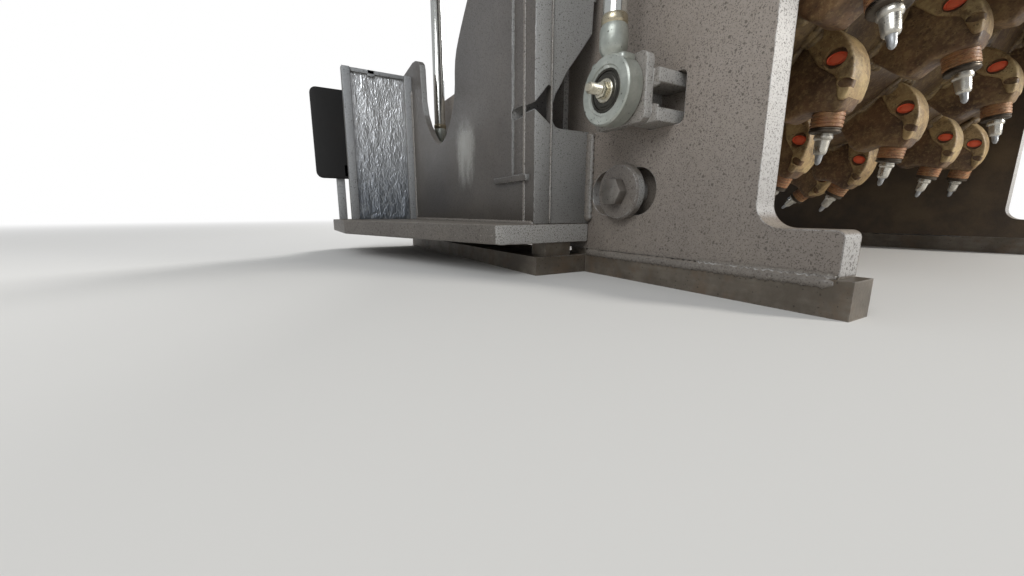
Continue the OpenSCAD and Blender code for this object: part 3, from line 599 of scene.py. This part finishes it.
def clod(at, size, seed):
    """Lump of dried dust and grit"""
    dice = random.Random(seed)
    bm = bmesh.new()
    bmesh.ops.create_icosphere(bm, subdivisions=2, radius=size)
    for vert in bm.verts:
        vert.co *= dice.uniform(0.72, 1.12)
    stretch = [dice.uniform(0.6, 1.3) for _ in range(3)]
    bmesh.ops.scale(bm, vec=stretch, verts=bm.verts)
    bmesh.ops.translate(bm, vec=at, verts=bm.verts)
    return bm


def put(bm, part, places=None):
    """Adds a part to a mesh, once or at each of several places"""
    mesh = bpy.data.meshes.new("part")
    part.to_mesh(mesh)
    part.free()
    for place in places or [Matrix()]:
        count = len(bm.verts)
        bm.from_mesh(mesh)
        bm.verts.ensure_lookup_table()
        bmesh.ops.transform(bm, matrix=place, verts=bm.verts[count:])
    bpy.data.meshes.remove(mesh)


def cut(part, tool):
    """The part with the tool's space taken out"""
    made = []
    for bm in (part, tool):
        mesh = bpy.data.meshes.new("part")
        bm.to_mesh(mesh)
        bm.free()
        made.append(add_object("part", mesh))
    away = made[0].modifiers.new("cut", "BOOLEAN")
    away.operation, away.object, away.solver = "DIFFERENCE", made[1], "EXACT"
    bm = bmesh.new()
    bm.from_mesh(made[0].evaluated_get(bpy.context.evaluated_depsgraph_get()).to_mesh())
    for piece in made:
        mesh = piece.data
        bpy.data.objects.remove(piece)
        bpy.data.meshes.remove(mesh)
    return bm


def finish(name, bm, body, material, replaces=(), angle=SMOOTH_ANGLE):
    """Makes the mesh a piece in metres, with smooth faces up to an angle, that rides on a body"""
    metres = Matrix.Translation((0, AXIS.y, 0)) @ Matrix.Scale(0.001, 4)
    bmesh.ops.transform(bm, matrix=metres, verts=bm.verts)
    bmesh.ops.recalc_face_normals(bm, faces=bm.faces)
    mesh = bpy.data.meshes.new(name)
    bm.to_mesh(mesh)
    bm.free()
    mesh.shade_smooth()
    mesh.set_sharp_from_angle(angle=math.radians(angle))
    mesh.materials.append(material)
    piece = add_object(name, mesh)
    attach(piece, body)
    if replaces:
        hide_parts(*replaces)


def single(name, parts, body, material, angle=SMOOTH_ANGLE):
    bm = bmesh.new()
    for part in parts:
        put(bm, part)
    finish(name, bm, body, material, angle=angle)


def on_drum(name, part, places, material, replaces=(), angle=30):
    """The same part at each of several places on the drum, as one piece"""
    bm = bmesh.new()
    put(bm, part, places)
    finish(name, bm, "drum", material, replaces, angle)


def on_both_sides(name, parts, material, replaces=(), angle=SMOOTH_ANGLE, body="side"):
    """The same piece on the left, as parts() gives it, and mirrored on the right"""
    for side, sign in (("left", 1), ("right", -1)):
        bm = bmesh.new()
        for part in parts():
            put(bm, part)
        bmesh.ops.scale(bm, vec=(sign, 1, 1), verts=bm.verts)
        ride = body if body == "housing" else f"{body}_{side}"
        finish(f"{name}_{side}", bm, ride, material, [f"{node}_{side}" for node in replaces], angle)


def arc(centre, radius, start, end, count):
    """Points on a circle between two angles in degrees"""
    steps = [math.radians(start + (end - start) * i / count) for i in range(count + 1)]
    return [(centre[0] + radius * math.cos(a), centre[1] + radius * math.sin(a)) for a in steps]


def rounded(low, high, radius, count):
    """Outline of a rectangle with rounded corners"""
    x, y = (low[0] + radius, high[0] - radius), (low[1] + radius, high[1] - radius)
    outline = []
    for i, corner in enumerate(((x[1], y[1]), (x[0], y[1]), (x[0], y[0]), (x[1], y[0]))):
        outline += arc(corner, radius, 90 * i, 90 * i + 90, count)
    return outline


# Drum: holders, picks and plugs

def tilt(degrees, axis="X"):
    return Matrix.Rotation(math.radians(degrees), 4, axis)


def tool_places():
    """Where every pick stands: along the helix, and in a ring at each end of the drum"""
    places = [(GATHER_X + k * LINE_W, DRUM_PHASE + k * TOOL_STEP, 0) for k in range(LINES_RIGHT + 1)]
    for sign in (-1, 1):
        for i in range(END_TOOLS):
            turn = DRUM_PHASE + END_TURN + (i + (0.5 if sign > 0 else 0)) * 360 / END_TOOLS
            places.append((sign * (MILL_W / 2 - WASHER_R), turn, sign * END_LEAN))
    return [Matrix.Translation((x, 0, AXIS_Z)) @ tilt(turn) @ Matrix.Translation((0, 0, -CUT_R))
            @ tilt(-lean, "Y") @ tilt(90 - ATTACK) for x, turn, lean in places]


FOOT_TURN = tilt(ATTACK - 90)
NECK_LENGTH = 95
ATTACK_COS, ATTACK_SIN = math.cos(math.radians(ATTACK)), math.sin(math.radians(ATTACK))


def at_neck(across, along):
    """Point on a holder's side, from the end of its neck"""
    return (-NECK_LENGTH * ATTACK_COS + across * ATTACK_SIN - along * ATTACK_COS,
            NECK_LENGTH * ATTACK_SIN + across * ATTACK_COS + along * ATTACK_SIN)


# The holder's side: the round of its back, the plug's seat and the depth of its base, under the pick's tip
BACK_AT, BACK_R, BACK_LOW = at_neck(52, 11), 80, 142.2
PLUG_SEAT = at_neck(-4, 38)
BASE = 165


def holder_foot():
    outline = [(8, BASE), (8, 92), (2, 75), at_neck(23, -25)] + arc(BACK_AT, BACK_R, 245.5, BACK_LOW, 14)
    return slab(outline, -21, 21, "X", 5.0, 3)


def holder_cheek():
    """Wide cheek along the holder's back, with the plug's seat and the slot beside it in its left face"""
    outline = [at_neck(-16, -14), at_neck(-8, 16), at_neck(16, 32), (-65, BASE)]
    cheek = slab(outline + arc(BACK_AT, BACK_R, BACK_LOW, 235.2, 14), -27, 27, "X", 4.0, 3)
    cheek = cut(cheek, turned([(0, 0), (13, 0), (13, 20), (0, 20)], (-39, *PLUG_SEAT), (1, 0, 0), 28))
    slot = turned([(0, 0), (6, 0), (6, 26), (0, 26)], (0, 0, 0), (1, 0, 0), 20)
    bmesh.ops.scale(slot, vec=(1, 1, 1.7), verts=slot.verts)
    place = Matrix.Translation((-39, *at_neck(-21, 6))) @ FOOT_TURN
    bmesh.ops.transform(slot, matrix=place, verts=slot.verts)
    return cut(cheek, slot)


def on_tube(y):
    """How far the tube's skin lies under a pick's tip, at a distance before or behind it"""
    return CUT_R - math.sqrt(TUBE_R ** 2 - y ** 2)


def make_drum():
    places = tool_places()
    feet = [place @ FOOT_TURN for place in places]
    on_drum("holder_feet", holder_foot(), feet, HOLDER_DARK, ["pick_holders"])
    on_drum("holder_cheeks", holder_cheek(), feet, HOLDER_OCHRE)

    neck = [(0, 50), (17.5, 50), (19, 51)]
    for z in (50, 55, 60, 65):
        neck += [(19, z + 3), (18, z + 3.5), (18, z + 4.5), (19, z + 5)]
    neck += [(19, 80), (20.5, 88), (20.5, 102), (0, 102)]
    on_drum("holder_necks", turned(neck, steps=28), places, NECK_RUST)

    pick = [(0, 14.5), (5.6, 14.5), (7.2, 15.8), (8.0, 18.5), (8.5, 26), (9.0, 33.5), (10.8, 35.2),
            (11.2, 36.6), (11.2, 39.4), (10.4, 40.2), (10.4, 42.4), (0, 42.4)]
    on_drum("pick_bodies", turned(pick, steps=24), places, PICK_STEEL, ["picks"], 35)
    tip = [(0, 0.4), (1.4, 0.7), (2.9, 2.4), (4.0, 5.5), (4.2, 9), (4.5, 13), (5.4, 15), (0, 15)]
    on_drum("pick_tips", turned(tip, steps=20), places, CARBIDE, angle=35)
    washer = [(0, 42.3), (15.5, 42.3), (17.6, 43.2), (18.5, 44.6), (18.5, 46.2), (17, 46.7), (17, 47.4),
              (18.2, 47.8), (18.2, 49.2), (0, 49.4)]
    on_drum("wear_washers", turned(washer, steps=28), places, WASHER_STEEL)

    profile = [(0, 2.6), (4, 2.9), (8, 2.3), (9.5, 1.2), (10.6, 2.4), (11.6, 2.0), (12.3, 0.4), (12.3, -3),
               (0, -3)]
    plug = turned(profile, (-20.5, 0, 0), OUT, 24)
    bmesh.ops.scale(plug, vec=(1, 0.64, 1), verts=plug.verts)
    lean = tilt(ATTACK - 112)
    bmesh.ops.transform(plug, matrix=Matrix.Translation((0, *PLUG_SEAT)) @ lean, verts=plug.verts)
    on_drum("clamp_plugs", plug, feet, PLUG_ORANGE)

    # rough weld round every foot, on the tube
    bm = bmesh.new()
    corners = [(-29, -97), (-29, 10), (29, 10), (29, -97), (-29, -97)]
    for number, (a, b) in enumerate(zip(corners, corners[1:])):
        middle = [(a[0] + (b[0] - a[0]) * t, a[1] + (b[1] - a[1]) * t) for t in (0, 0.34, 0.67, 1)]
        points = [(x, y, on_tube(y)) for x, y in middle]
        for i, (start, end) in enumerate(zip(points, points[1:])):
            put(bm, weld(start, end, 8, 9, number * 7 + i, 6), feet)
    finish("holder_welds", bm, "drum", DRUM_DUST, angle=60)

    dice = random.Random(11)
    bm = bmesh.new()
    for number in range(150):
        turn, x = dice.uniform(0, 360), dice.uniform(-480, 480)
        spot = Matrix.Translation((x, 0, AXIS_Z)) @ tilt(turn)
        flat = clod((0, 0, 0), dice.uniform(6, 17), number)
        bmesh.ops.scale(flat, vec=(1.3, 1.3, 0.55), verts=flat.verts)
        put(bm, flat, [spot @ Matrix.Translation((0, 0, -TUBE_R))])
    for number, place in enumerate(feet):
        for corner in (-1, 1):
            y = dice.uniform(-95, 5)
            put(bm, clod((corner * 24, y, on_tube(y) - 4), dice.uniform(8, 17), 300 + number), [place])
    finish("dust_clods", bm, "drum", DRUM_DUST, angle=60)


# Side plates: eyes, lugs, bolt, skid, panel and flap

def rod_eye(x, y):
    """Eye and neck at the end of a lift rod"""
    ring = [(27, -11), (30, -13), (41, -13), (43, -11), (43, 11), (41, 13), (31, 13), (30, 11.5), (27, 11),
            (27, -11)]
    neck = [(0, 282), (12.6, 282), (12.6, 298), (15.5, 302), (18.2, 308), (18.2, 327), (16.8, 332),
            (15.6, 334.5), (0, 334.5)]
    return [turned(ring, (x, y, EYE_Z), OUT, 64), turned(neck, (x, y, 0), steps=40),
            block((x - 12, y - 30, 284), (x + 12, y + 30, 296), 5, 3)]


def eye_bearing(x, y):
    """Bearing's outer ring, seal and inner ring"""
    rings = [[(24.2, -10), (27, -10), (27, 10.2), (26, 11), (24.2, 10.4), (24.2, -10)],
             [(20.5, -11), (24, -9), (24, 9), (22.4, 9.6), (22, 10.6), (20.5, 11), (20.5, -11)],
             [(15, -12), (20.2, -12), (20.2, 11.4), (19, 12.4), (15, 12.4), (15, -12)]]
    return [turned(ring, (x, y, EYE_Z), OUT, 56) for ring in rings]


def eye_pin(x, y, stub):
    """Pin through the eye, its nut and the threaded end"""
    at = (x, y, EYE_Z)
    pin = turned([(0, -13), (14.7, -13), (14.7, 12.6), (13.7, 13.6), (0, 13.6)], at, OUT, 40)
    nut = hex_bolt((x - 13.3, y, EYE_Z), OUT, 19, 8, 0)
    thread = [(0, 20), (6.6, 20)]
    for i in range(int(stub / 2) - 1):
        thread += [(7, 21.5 + 2 * i), (5.8, 22.5 + 2 * i)]
    end = 20 + stub
    return [pin, nut, turned(thread + [(5.6, end), (4.6, end + 1.2), (0, end + 1.2)], at, OUT, 20)]


def on_rods(profile, steps):
    """The same turned part on the lines of both lift rods"""
    return [turned(profile, (x, y, 0), steps=steps) for x, y in RODS]


def torch_cut(low, high, seed):
    """Outline of a plate cut by torch: a rectangle with rounded corners and an uneven edge"""
    step, rough = 7.0, 0.7
    dice = random.Random(seed)
    outline = rounded(low, high, 10, 5)
    full = []
    for a, b in zip(outline, outline[1:] + outline[:1]):
        count = max(int(math.dist(a, b) / step), 1)
        for i in range(count):
            share = i / count
            full.append((a[0] + (b[0] - a[0]) * share - dice.uniform(0, rough),
                         a[1] + (b[1] - a[1]) * share - dice.uniform(0, rough)))
    return full


def foil_sheet():
    """Crumpled reflective sheet in its frame: small dents on slow folds, thickened into a wall"""
    dice = random.Random(5)
    bm = bmesh.new()
    bmesh.ops.create_grid(bm, x_segments=34, y_segments=70, size=0.5)
    for vert in bm.verts:
        u, v = vert.co.x + 0.5, vert.co.y + 0.5
        free = 0.02 < u < 0.98 and 0.01 < v < 0.99
        x = -843 + 138 * u + (dice.uniform(-1.2, 1.2) if free else 0)
        z = 84 + 372 * v + (dice.uniform(-1.6, 1.6) if free else 0)
        fold = (noise.noise(Vector((x * 0.045, z * 0.012, 3.1))) * 1.5
                + noise.noise(Vector((x * 0.15, z * 0.05, 7.7))) * 0.7)
        vert.co = (x, 628.4 + (fold if free else 1.0), z)
    bmesh.ops.recalc_face_normals(bm, faces=bm.faces)
    bmesh.ops.solidify(bm, geom=bm.faces[:] + bm.edges[:] + bm.verts[:], thickness=1.0)
    return bm


def box_wall():
    """Outer wall of the box: the U-shaped cut, the hook beside it, the groove and the notch; make_sides adds the
    rib beside it
    """
    cut_edge = [(545, 476), (540, 462), (538, 425), (535, 385), (522, 348), (502, 320), (479, 297), (455, 277),
                (433, 266), (412, 261), (391, 264), (372, 274), (355, 288), (338, 305), (324, 324), (315, 345),
                (311, 367), (310, 390), (306, 411), (298, 429), (285, 446), (271, 462), (257, 477), (238, 496),
                (220, 517), (200, 548), (182, 590), (172, BOX_TOP)]
    outline = [(0, SKID_TOP), (720, SKID_TOP), (720, 434), (704, 489), (606, 497), (580, 494), (560, 487)]
    wall = slab(outline + cut_edge + [(0, BOX_TOP)], BOX_X, BOX_INNER, "X", 1.8)
    wall = cut(wall, block((-670, 150, 92), (-640, 712, 600), 0))
    wall = cut(wall, block((-690, 33, 162), (-681, 68, 660), 0))
    return cut(wall, slab([(-690, 256), (-661, 289), (-650, 287), (-650, 229)], -5, 70, "Y", 0))


def box_rear():
    """Rear wall of the box, cut away beside the rod eye with a rounded corner"""
    gap = [(-572, 229), (-640, 229), (-647, 231), (-651, 236), (-653, 243), (-653, 262), (-648, 277),
           (-638, 293), (-627, 312), (-604, 342), (-580, 374), (-578, 420), (-572, 420)]
    sheet = [(BOX_INNER, SKID_TOP), (PLATE_X, SKID_TOP), (PLATE_X, BOX_TOP), (BOX_INNER, BOX_TOP)]
    wall = slab(sheet, 0, 14, "Y", 1.5)
    return cut(wall, slab(gap, -5, 20, "Y", 0))


def make_sides():
    rear, front = RODS
    on_both_sides("rod_eyes", lambda: rod_eye(*rear) + rod_eye(*front), EYE_CAST, ["lift_rods"])
    on_both_sides("eye_bearings", lambda: eye_bearing(*rear) + eye_bearing(*front), BEARING_STEEL)
    on_both_sides("eye_pins", lambda: eye_pin(*rear, 20) + eye_pin(*front, 8), BRIGHT_BOLT)
    band = [(0, 334), (15.4, 334), (16.7, 336), (17.0, 340), (16.4, 344), (15.2, 346), (0, 346)]
    on_both_sides("rod_bands", lambda: on_rods(band, 40), ROD_BAND)
    rod = [(0, 340), (15, 340), (15, 724), (13.5, 726), (0, 726)]
    on_both_sides("lift_rods_chrome", lambda: on_rods(rod, 48), CHROME)

    def lugs():
        made = [slab(torch_cut((-152, 214), (-62, 298), 3), -621.7, -607.7, "X", 1.2),
                slab(torch_cut((555, 214), (645, 298), 4), -600.7, PLATE_X, "X", 1.2)]
        made += [block((-609, -161, z), (-545, -121, z + 18), 2.5, 3) for z in (213, 259)]
        made += [weld((-606, -160, z), (-606, -122, z), 3.5, 3.5, seed) for z, seed in ((232, 5), (258, 6))]
        return made + [weld((-574, 557, z), (-574, 643, z), 4, 3.5, seed) for z, seed in ((213, 7), (299, 8))]
    on_both_sides("eye_lugs", lugs, LUG_PAINT, ["rod_lug"])

    def washer():
        return [turned([(0, 0), (39.5, 0), (41, 1.5), (41, 12), (38.5, 15), (0, 15)], SLOT_BOLT, OUT, 64),
                turned([(0, 0), (22, 0), (22, 27), (0, 27)], SLOT_BOLT, (1, 0, 0), 40)]
    on_both_sides("slot_washer", washer, WASHER_PAINT, ["slot_bolt"])
    on_both_sides("slot_bolt_head", lambda: [hex_bolt((PLATE_X - 15, *SLOT_BOLT[1:]), OUT, 36, 15, 0)],
                  BOLT_STEEL, angle=25)

    skid = [(PLATE_X, 0), (-753, 0), (-905, 461), (-905, 680), (-845, 740), (PLATE_X, 740)]
    on_both_sides("skid_plate", lambda: [slab(skid, SKID_LOW, SKID_TOP, "Z", 2.5, 3)], SKID_STEEL,
                  ["skid"])
    flap = rounded((-939, 190), (-843, 412), 16, 6)
    on_both_sides("rubber_flap", lambda: [slab(flap, 638, 646, "Y", 2.2, 3)], RUBBER, ["flap"])

    def frame_strips():
        uprights = [block((x, 618, SKID_TOP), (x + 20, 630, PANEL_TOP), 1.5) for x in (-863, -705)]
        return [*uprights,
                block((-843, 622, 456), (-705, 630, PANEL_TOP), 1.5),
                block((-800, 622, 450), (-782, 634, PANEL_TOP), 1.5),
                block((-863, 630, SKID_TOP), (BOX_X, 638, PANEL_TOP), 1.0),
                block((-891, 646, SKID_TOP), (-871, 660, 233), 1.5),
                block((-871, 638, 196), (-852, 647, 226), 1.0)]
    on_both_sides("panel_frame", frame_strips, FRAME_PAINT, ["panel"])
    on_both_sides("panel_foil", lambda: [foil_sheet()], FOIL, angle=60)
    on_both_sides("box_rear", lambda: [box_rear()], BOX_PAINT, ["box"], 30)
    on_both_sides("box_wall", lambda: [box_wall(), block((-692, 14, 150), (BOX_X, 122, 160), 1.2)],
                  BOX_PAINT, ["u_wall"], 30)

    def beads():
        return [weld((-577, -2, 86), (-577, -2, 229), 7.0, 4.5, 1),
                weld((BOX_X, 29, 86), (BOX_X, 29, 638), 2.6, 3.0, 2, 6),
                weld((-576, -357, 34), (-576, -2, 34), 6.0, 4.2, 3),
                weld((-573.5, -357, 39), (-573.5, -210, 39), 4.5, 3.6, 4),
                weld((BOX_INNER, -0.5, 84), (BOX_INNER, -0.5, 638), 1.6, 3.0, 9, 6),
                weld((-750, 2, 54), (-575, 2, 54), 2.2, 3.4, 10, 6),
                weld((-685.5, 2, 84), (-685.5, 716, 84), 4.0, 3.6, 12, 6),
                weld((-573.5, 16, 84), (-573.5, 736, 84), 4.5, 4.0, 13, 6),
                weld((-686, 618, 88), (-686, 618, 428), 3.0, 3.6, 14, 6)]
    on_both_sides("plate_welds", beads, WELD_PAINT, angle=60)


# Housing: bolts, barrels, ports, nozzles and seams

def make_housing():
    def guide_bolts():
        return [hex_bolt((-590, y, 510 + 90 * i), OUT, 24, 10, 3) for y in (-297, 352) for i in range(7)]
    on_both_sides("guide_bolts", guide_bolts, BOLT_STEEL, angle=25, body="housing")

    gland = [(15.6, 676.5), (28, 676.5), (29.5, 678), (29.5, 681), (33.2, 681.5), (34.4, 683), (34.4, 697),
             (33.2, 698.5), (31, 699), (31, 1052), (34.4, 1054), (34.4, 1074), (33, 1076), (15.6, 1076),
             (15.6, 676.5)]
    port = [(0, 0), (11, 0), (11, 8), (9, 9), (9, 16), (12, 17), (12, 24), (0, 24)]

    def glands():
        made = []
        for x, y in RODS:
            made.append(turned(gland, (x, y, 0), steps=48))
            made += [turned(port, (x - 29, y, z), OUT, 20) for z in (712, 1040)]
        return made
    on_both_sides("cylinder_glands", glands, HOUSING_PAINT, body="housing")

    def seams():
        made = []
        for number, y in enumerate((-314, -280, 335, 369)):
            low = 472 if y < 0 else 772
            made.append(weld((-532.5, y, low), (-532.5, y, 1098), 4.5, 4.5, 20 + number, 6))
        made.append(weld((-532.5, -480, 1099), (-532.5, 480, 1099), 5, 4.5, 30, 6))
        made.append(weld((-662, -577, 1100), (-662, 708, 1100), 3, 5.5, 31, 6))
        for x, y in RODS:
            for z, seed in ((1078, 32), (1098, 33)):
                made.append(weld((x - 13, y - 30, z), (x - 13, y + 30, z), 4, 4, seed, 6))
        return made
    on_both_sides("housing_seams", seams, WELD_METAL, angle=60, body="housing")

    bolts = [hex_bolt((x, -503, 436), (0, -1, 0), 24, 9, 3) for x in range(-480, 481, 120)]
    single("blade_bolts", bolts, "scraper", BOLT_STEEL, angle=25)
    lugs = [(x, s) for x in (-250, 250) for s in (-1, 1)]
    beads = [weld((-526, -504, 461), (526, -504, 461), 3.2, 5, 40, 6)]
    beads += [weld((x + s * 21, -504, 627), (x + s * 21, -504, 673), 4, 4, 41, 6) for x, s in lugs]
    single("scraper_seams", beads, "scraper", WELD_METAL, angle=60)
    nuts = [hex_bolt((x + s * 26.5, -542, 650), (s, 0, 0), 24, 7, 0) for x, s in lugs]
    single("scraper_pin_nuts", nuts, "scraper", BOLT_STEEL, angle=25)

    nozzle = [(0, 0), (9, 0), (9, 9), (12, 10), (12, 18), (10, 19), (7, 23), (3, 24), (0, 24)]
    nozzles = [turned(nozzle, (-420 + 70 * i, 562, 982), (0, 0, -1), 18) for i in range(13)]
    single("spray_nozzles", nozzles, "housing", PIPE_ZINC)
    cap = [(0, 0), (22.5, 0), (23.5, 1), (23.5, 17), (21.5, 19), (0, 19)]
    caps = [turned(cap, (s * 451, 562, 1000), (s, 0, 0), 32) for s in (-1, 1)]
    single("spray_bar_caps", caps, "housing", PIPE_ZINC)

    cap = [(0, 0), (19, 0), (20, 1), (20, 5), (19, 6), (0, 6)]
    pins = []
    for x, s in ((x, s) for x in (-432, 432) for s in (-1, 1)):
        pins.append(turned(cap, (x + s * 45, 547, 465), (s, 0, 0), 32))
        pins.append(hex_bolt((x + s * 51, 547, 465), (s, 0, 0), 18, 7, 0))
    single("bracket_pin_caps", pins, "housing", BOLT_STEEL, angle=25)

    seams = [weld((s * 511, 483, 412), (s * 511, 483, 1098), 4, 5, 50 + s, 6) for s in (-1, 1)]
    single("wall_seams", seams, "housing", WELD_METAL, angle=60)


# Stage

WHITE = (1, 1, 1, 1)


def add_world():
    """Soft light all round, and white where the camera looks past the floor"""
    world = bpy.data.worlds.new("studio")
    bpy.context.scene.world = world
    world.use_nodes = True
    world.node_tree.nodes.clear()
    graph = Graph(world.node_tree)
    path = graph.add("LightPath").outputs
    seen = graph.maths("MAXIMUM", path["Is Camera Ray"], path["Is Transmission Ray"])
    light = graph.add("Background", {"Color": (0.93, 0.96, 1.0, 1), "Strength": 0.45}).outputs[0]
    white = graph.add("Background", {"Color": WHITE, "Strength": 1.0}).outputs[0]
    graph.add("OutputWorld", {"Surface": graph.add("MixShader", {0: seen, 1: light, 2: white}).outputs[0]})


def add_floor():
    """Pale floor that holds the shadow near the unit and turns white far off"""
    material, graph = start_material("floor")
    lit = graph.add("BsdfPrincipled", {"Base Color": paint(214, 212, 208), "Roughness": 0.9}).outputs[0]
    away = graph.add("VectorMath", {0: graph.place()}, operation="LENGTH").outputs["Value"]
    seen = graph.times(graph.add("LightPath").outputs["Is Camera Ray"], graph.ramp(away, 1.8, 6.0))
    white = graph.add("Emission", {"Color": WHITE, "Strength": 1.0}).outputs[0]
    graph.add("OutputMaterial", {"Surface": graph.add("MixShader", {0: seen, 1: lit, 2: white}).outputs[0]})
    bm = bmesh.new()
    bmesh.ops.create_grid(bm, x_segments=1, y_segments=1, size=30)
    mesh = bpy.data.meshes.new("floor")
    bm.to_mesh(mesh)
    bm.free()
    mesh.materials.append(material)
    floor = add_object("floor", mesh)


add_camera()
add_world()
add_floor()
add_lamp("key", (1.7, -3.4, 1.5), (-0.3, -0.2, 0.3), 0.9, 140, (1.0, 0.98, 0.94))
add_lamp("fill", (-3.4, -1.6, 2.4), (-0.6, 0.0, 0.3), 2.6, 70, (0.94, 0.97, 1.0))
add_lamp("back", (2.5, 3.2, 3.0), (0.0, 0.0, 0.6), 2.0, 200, (1.0, 1.0, 1.0))
finish_cad_nodes()
make_drum()
make_sides()
make_housing()

bpy.context.scene.view_settings.view_transform = "Standard"
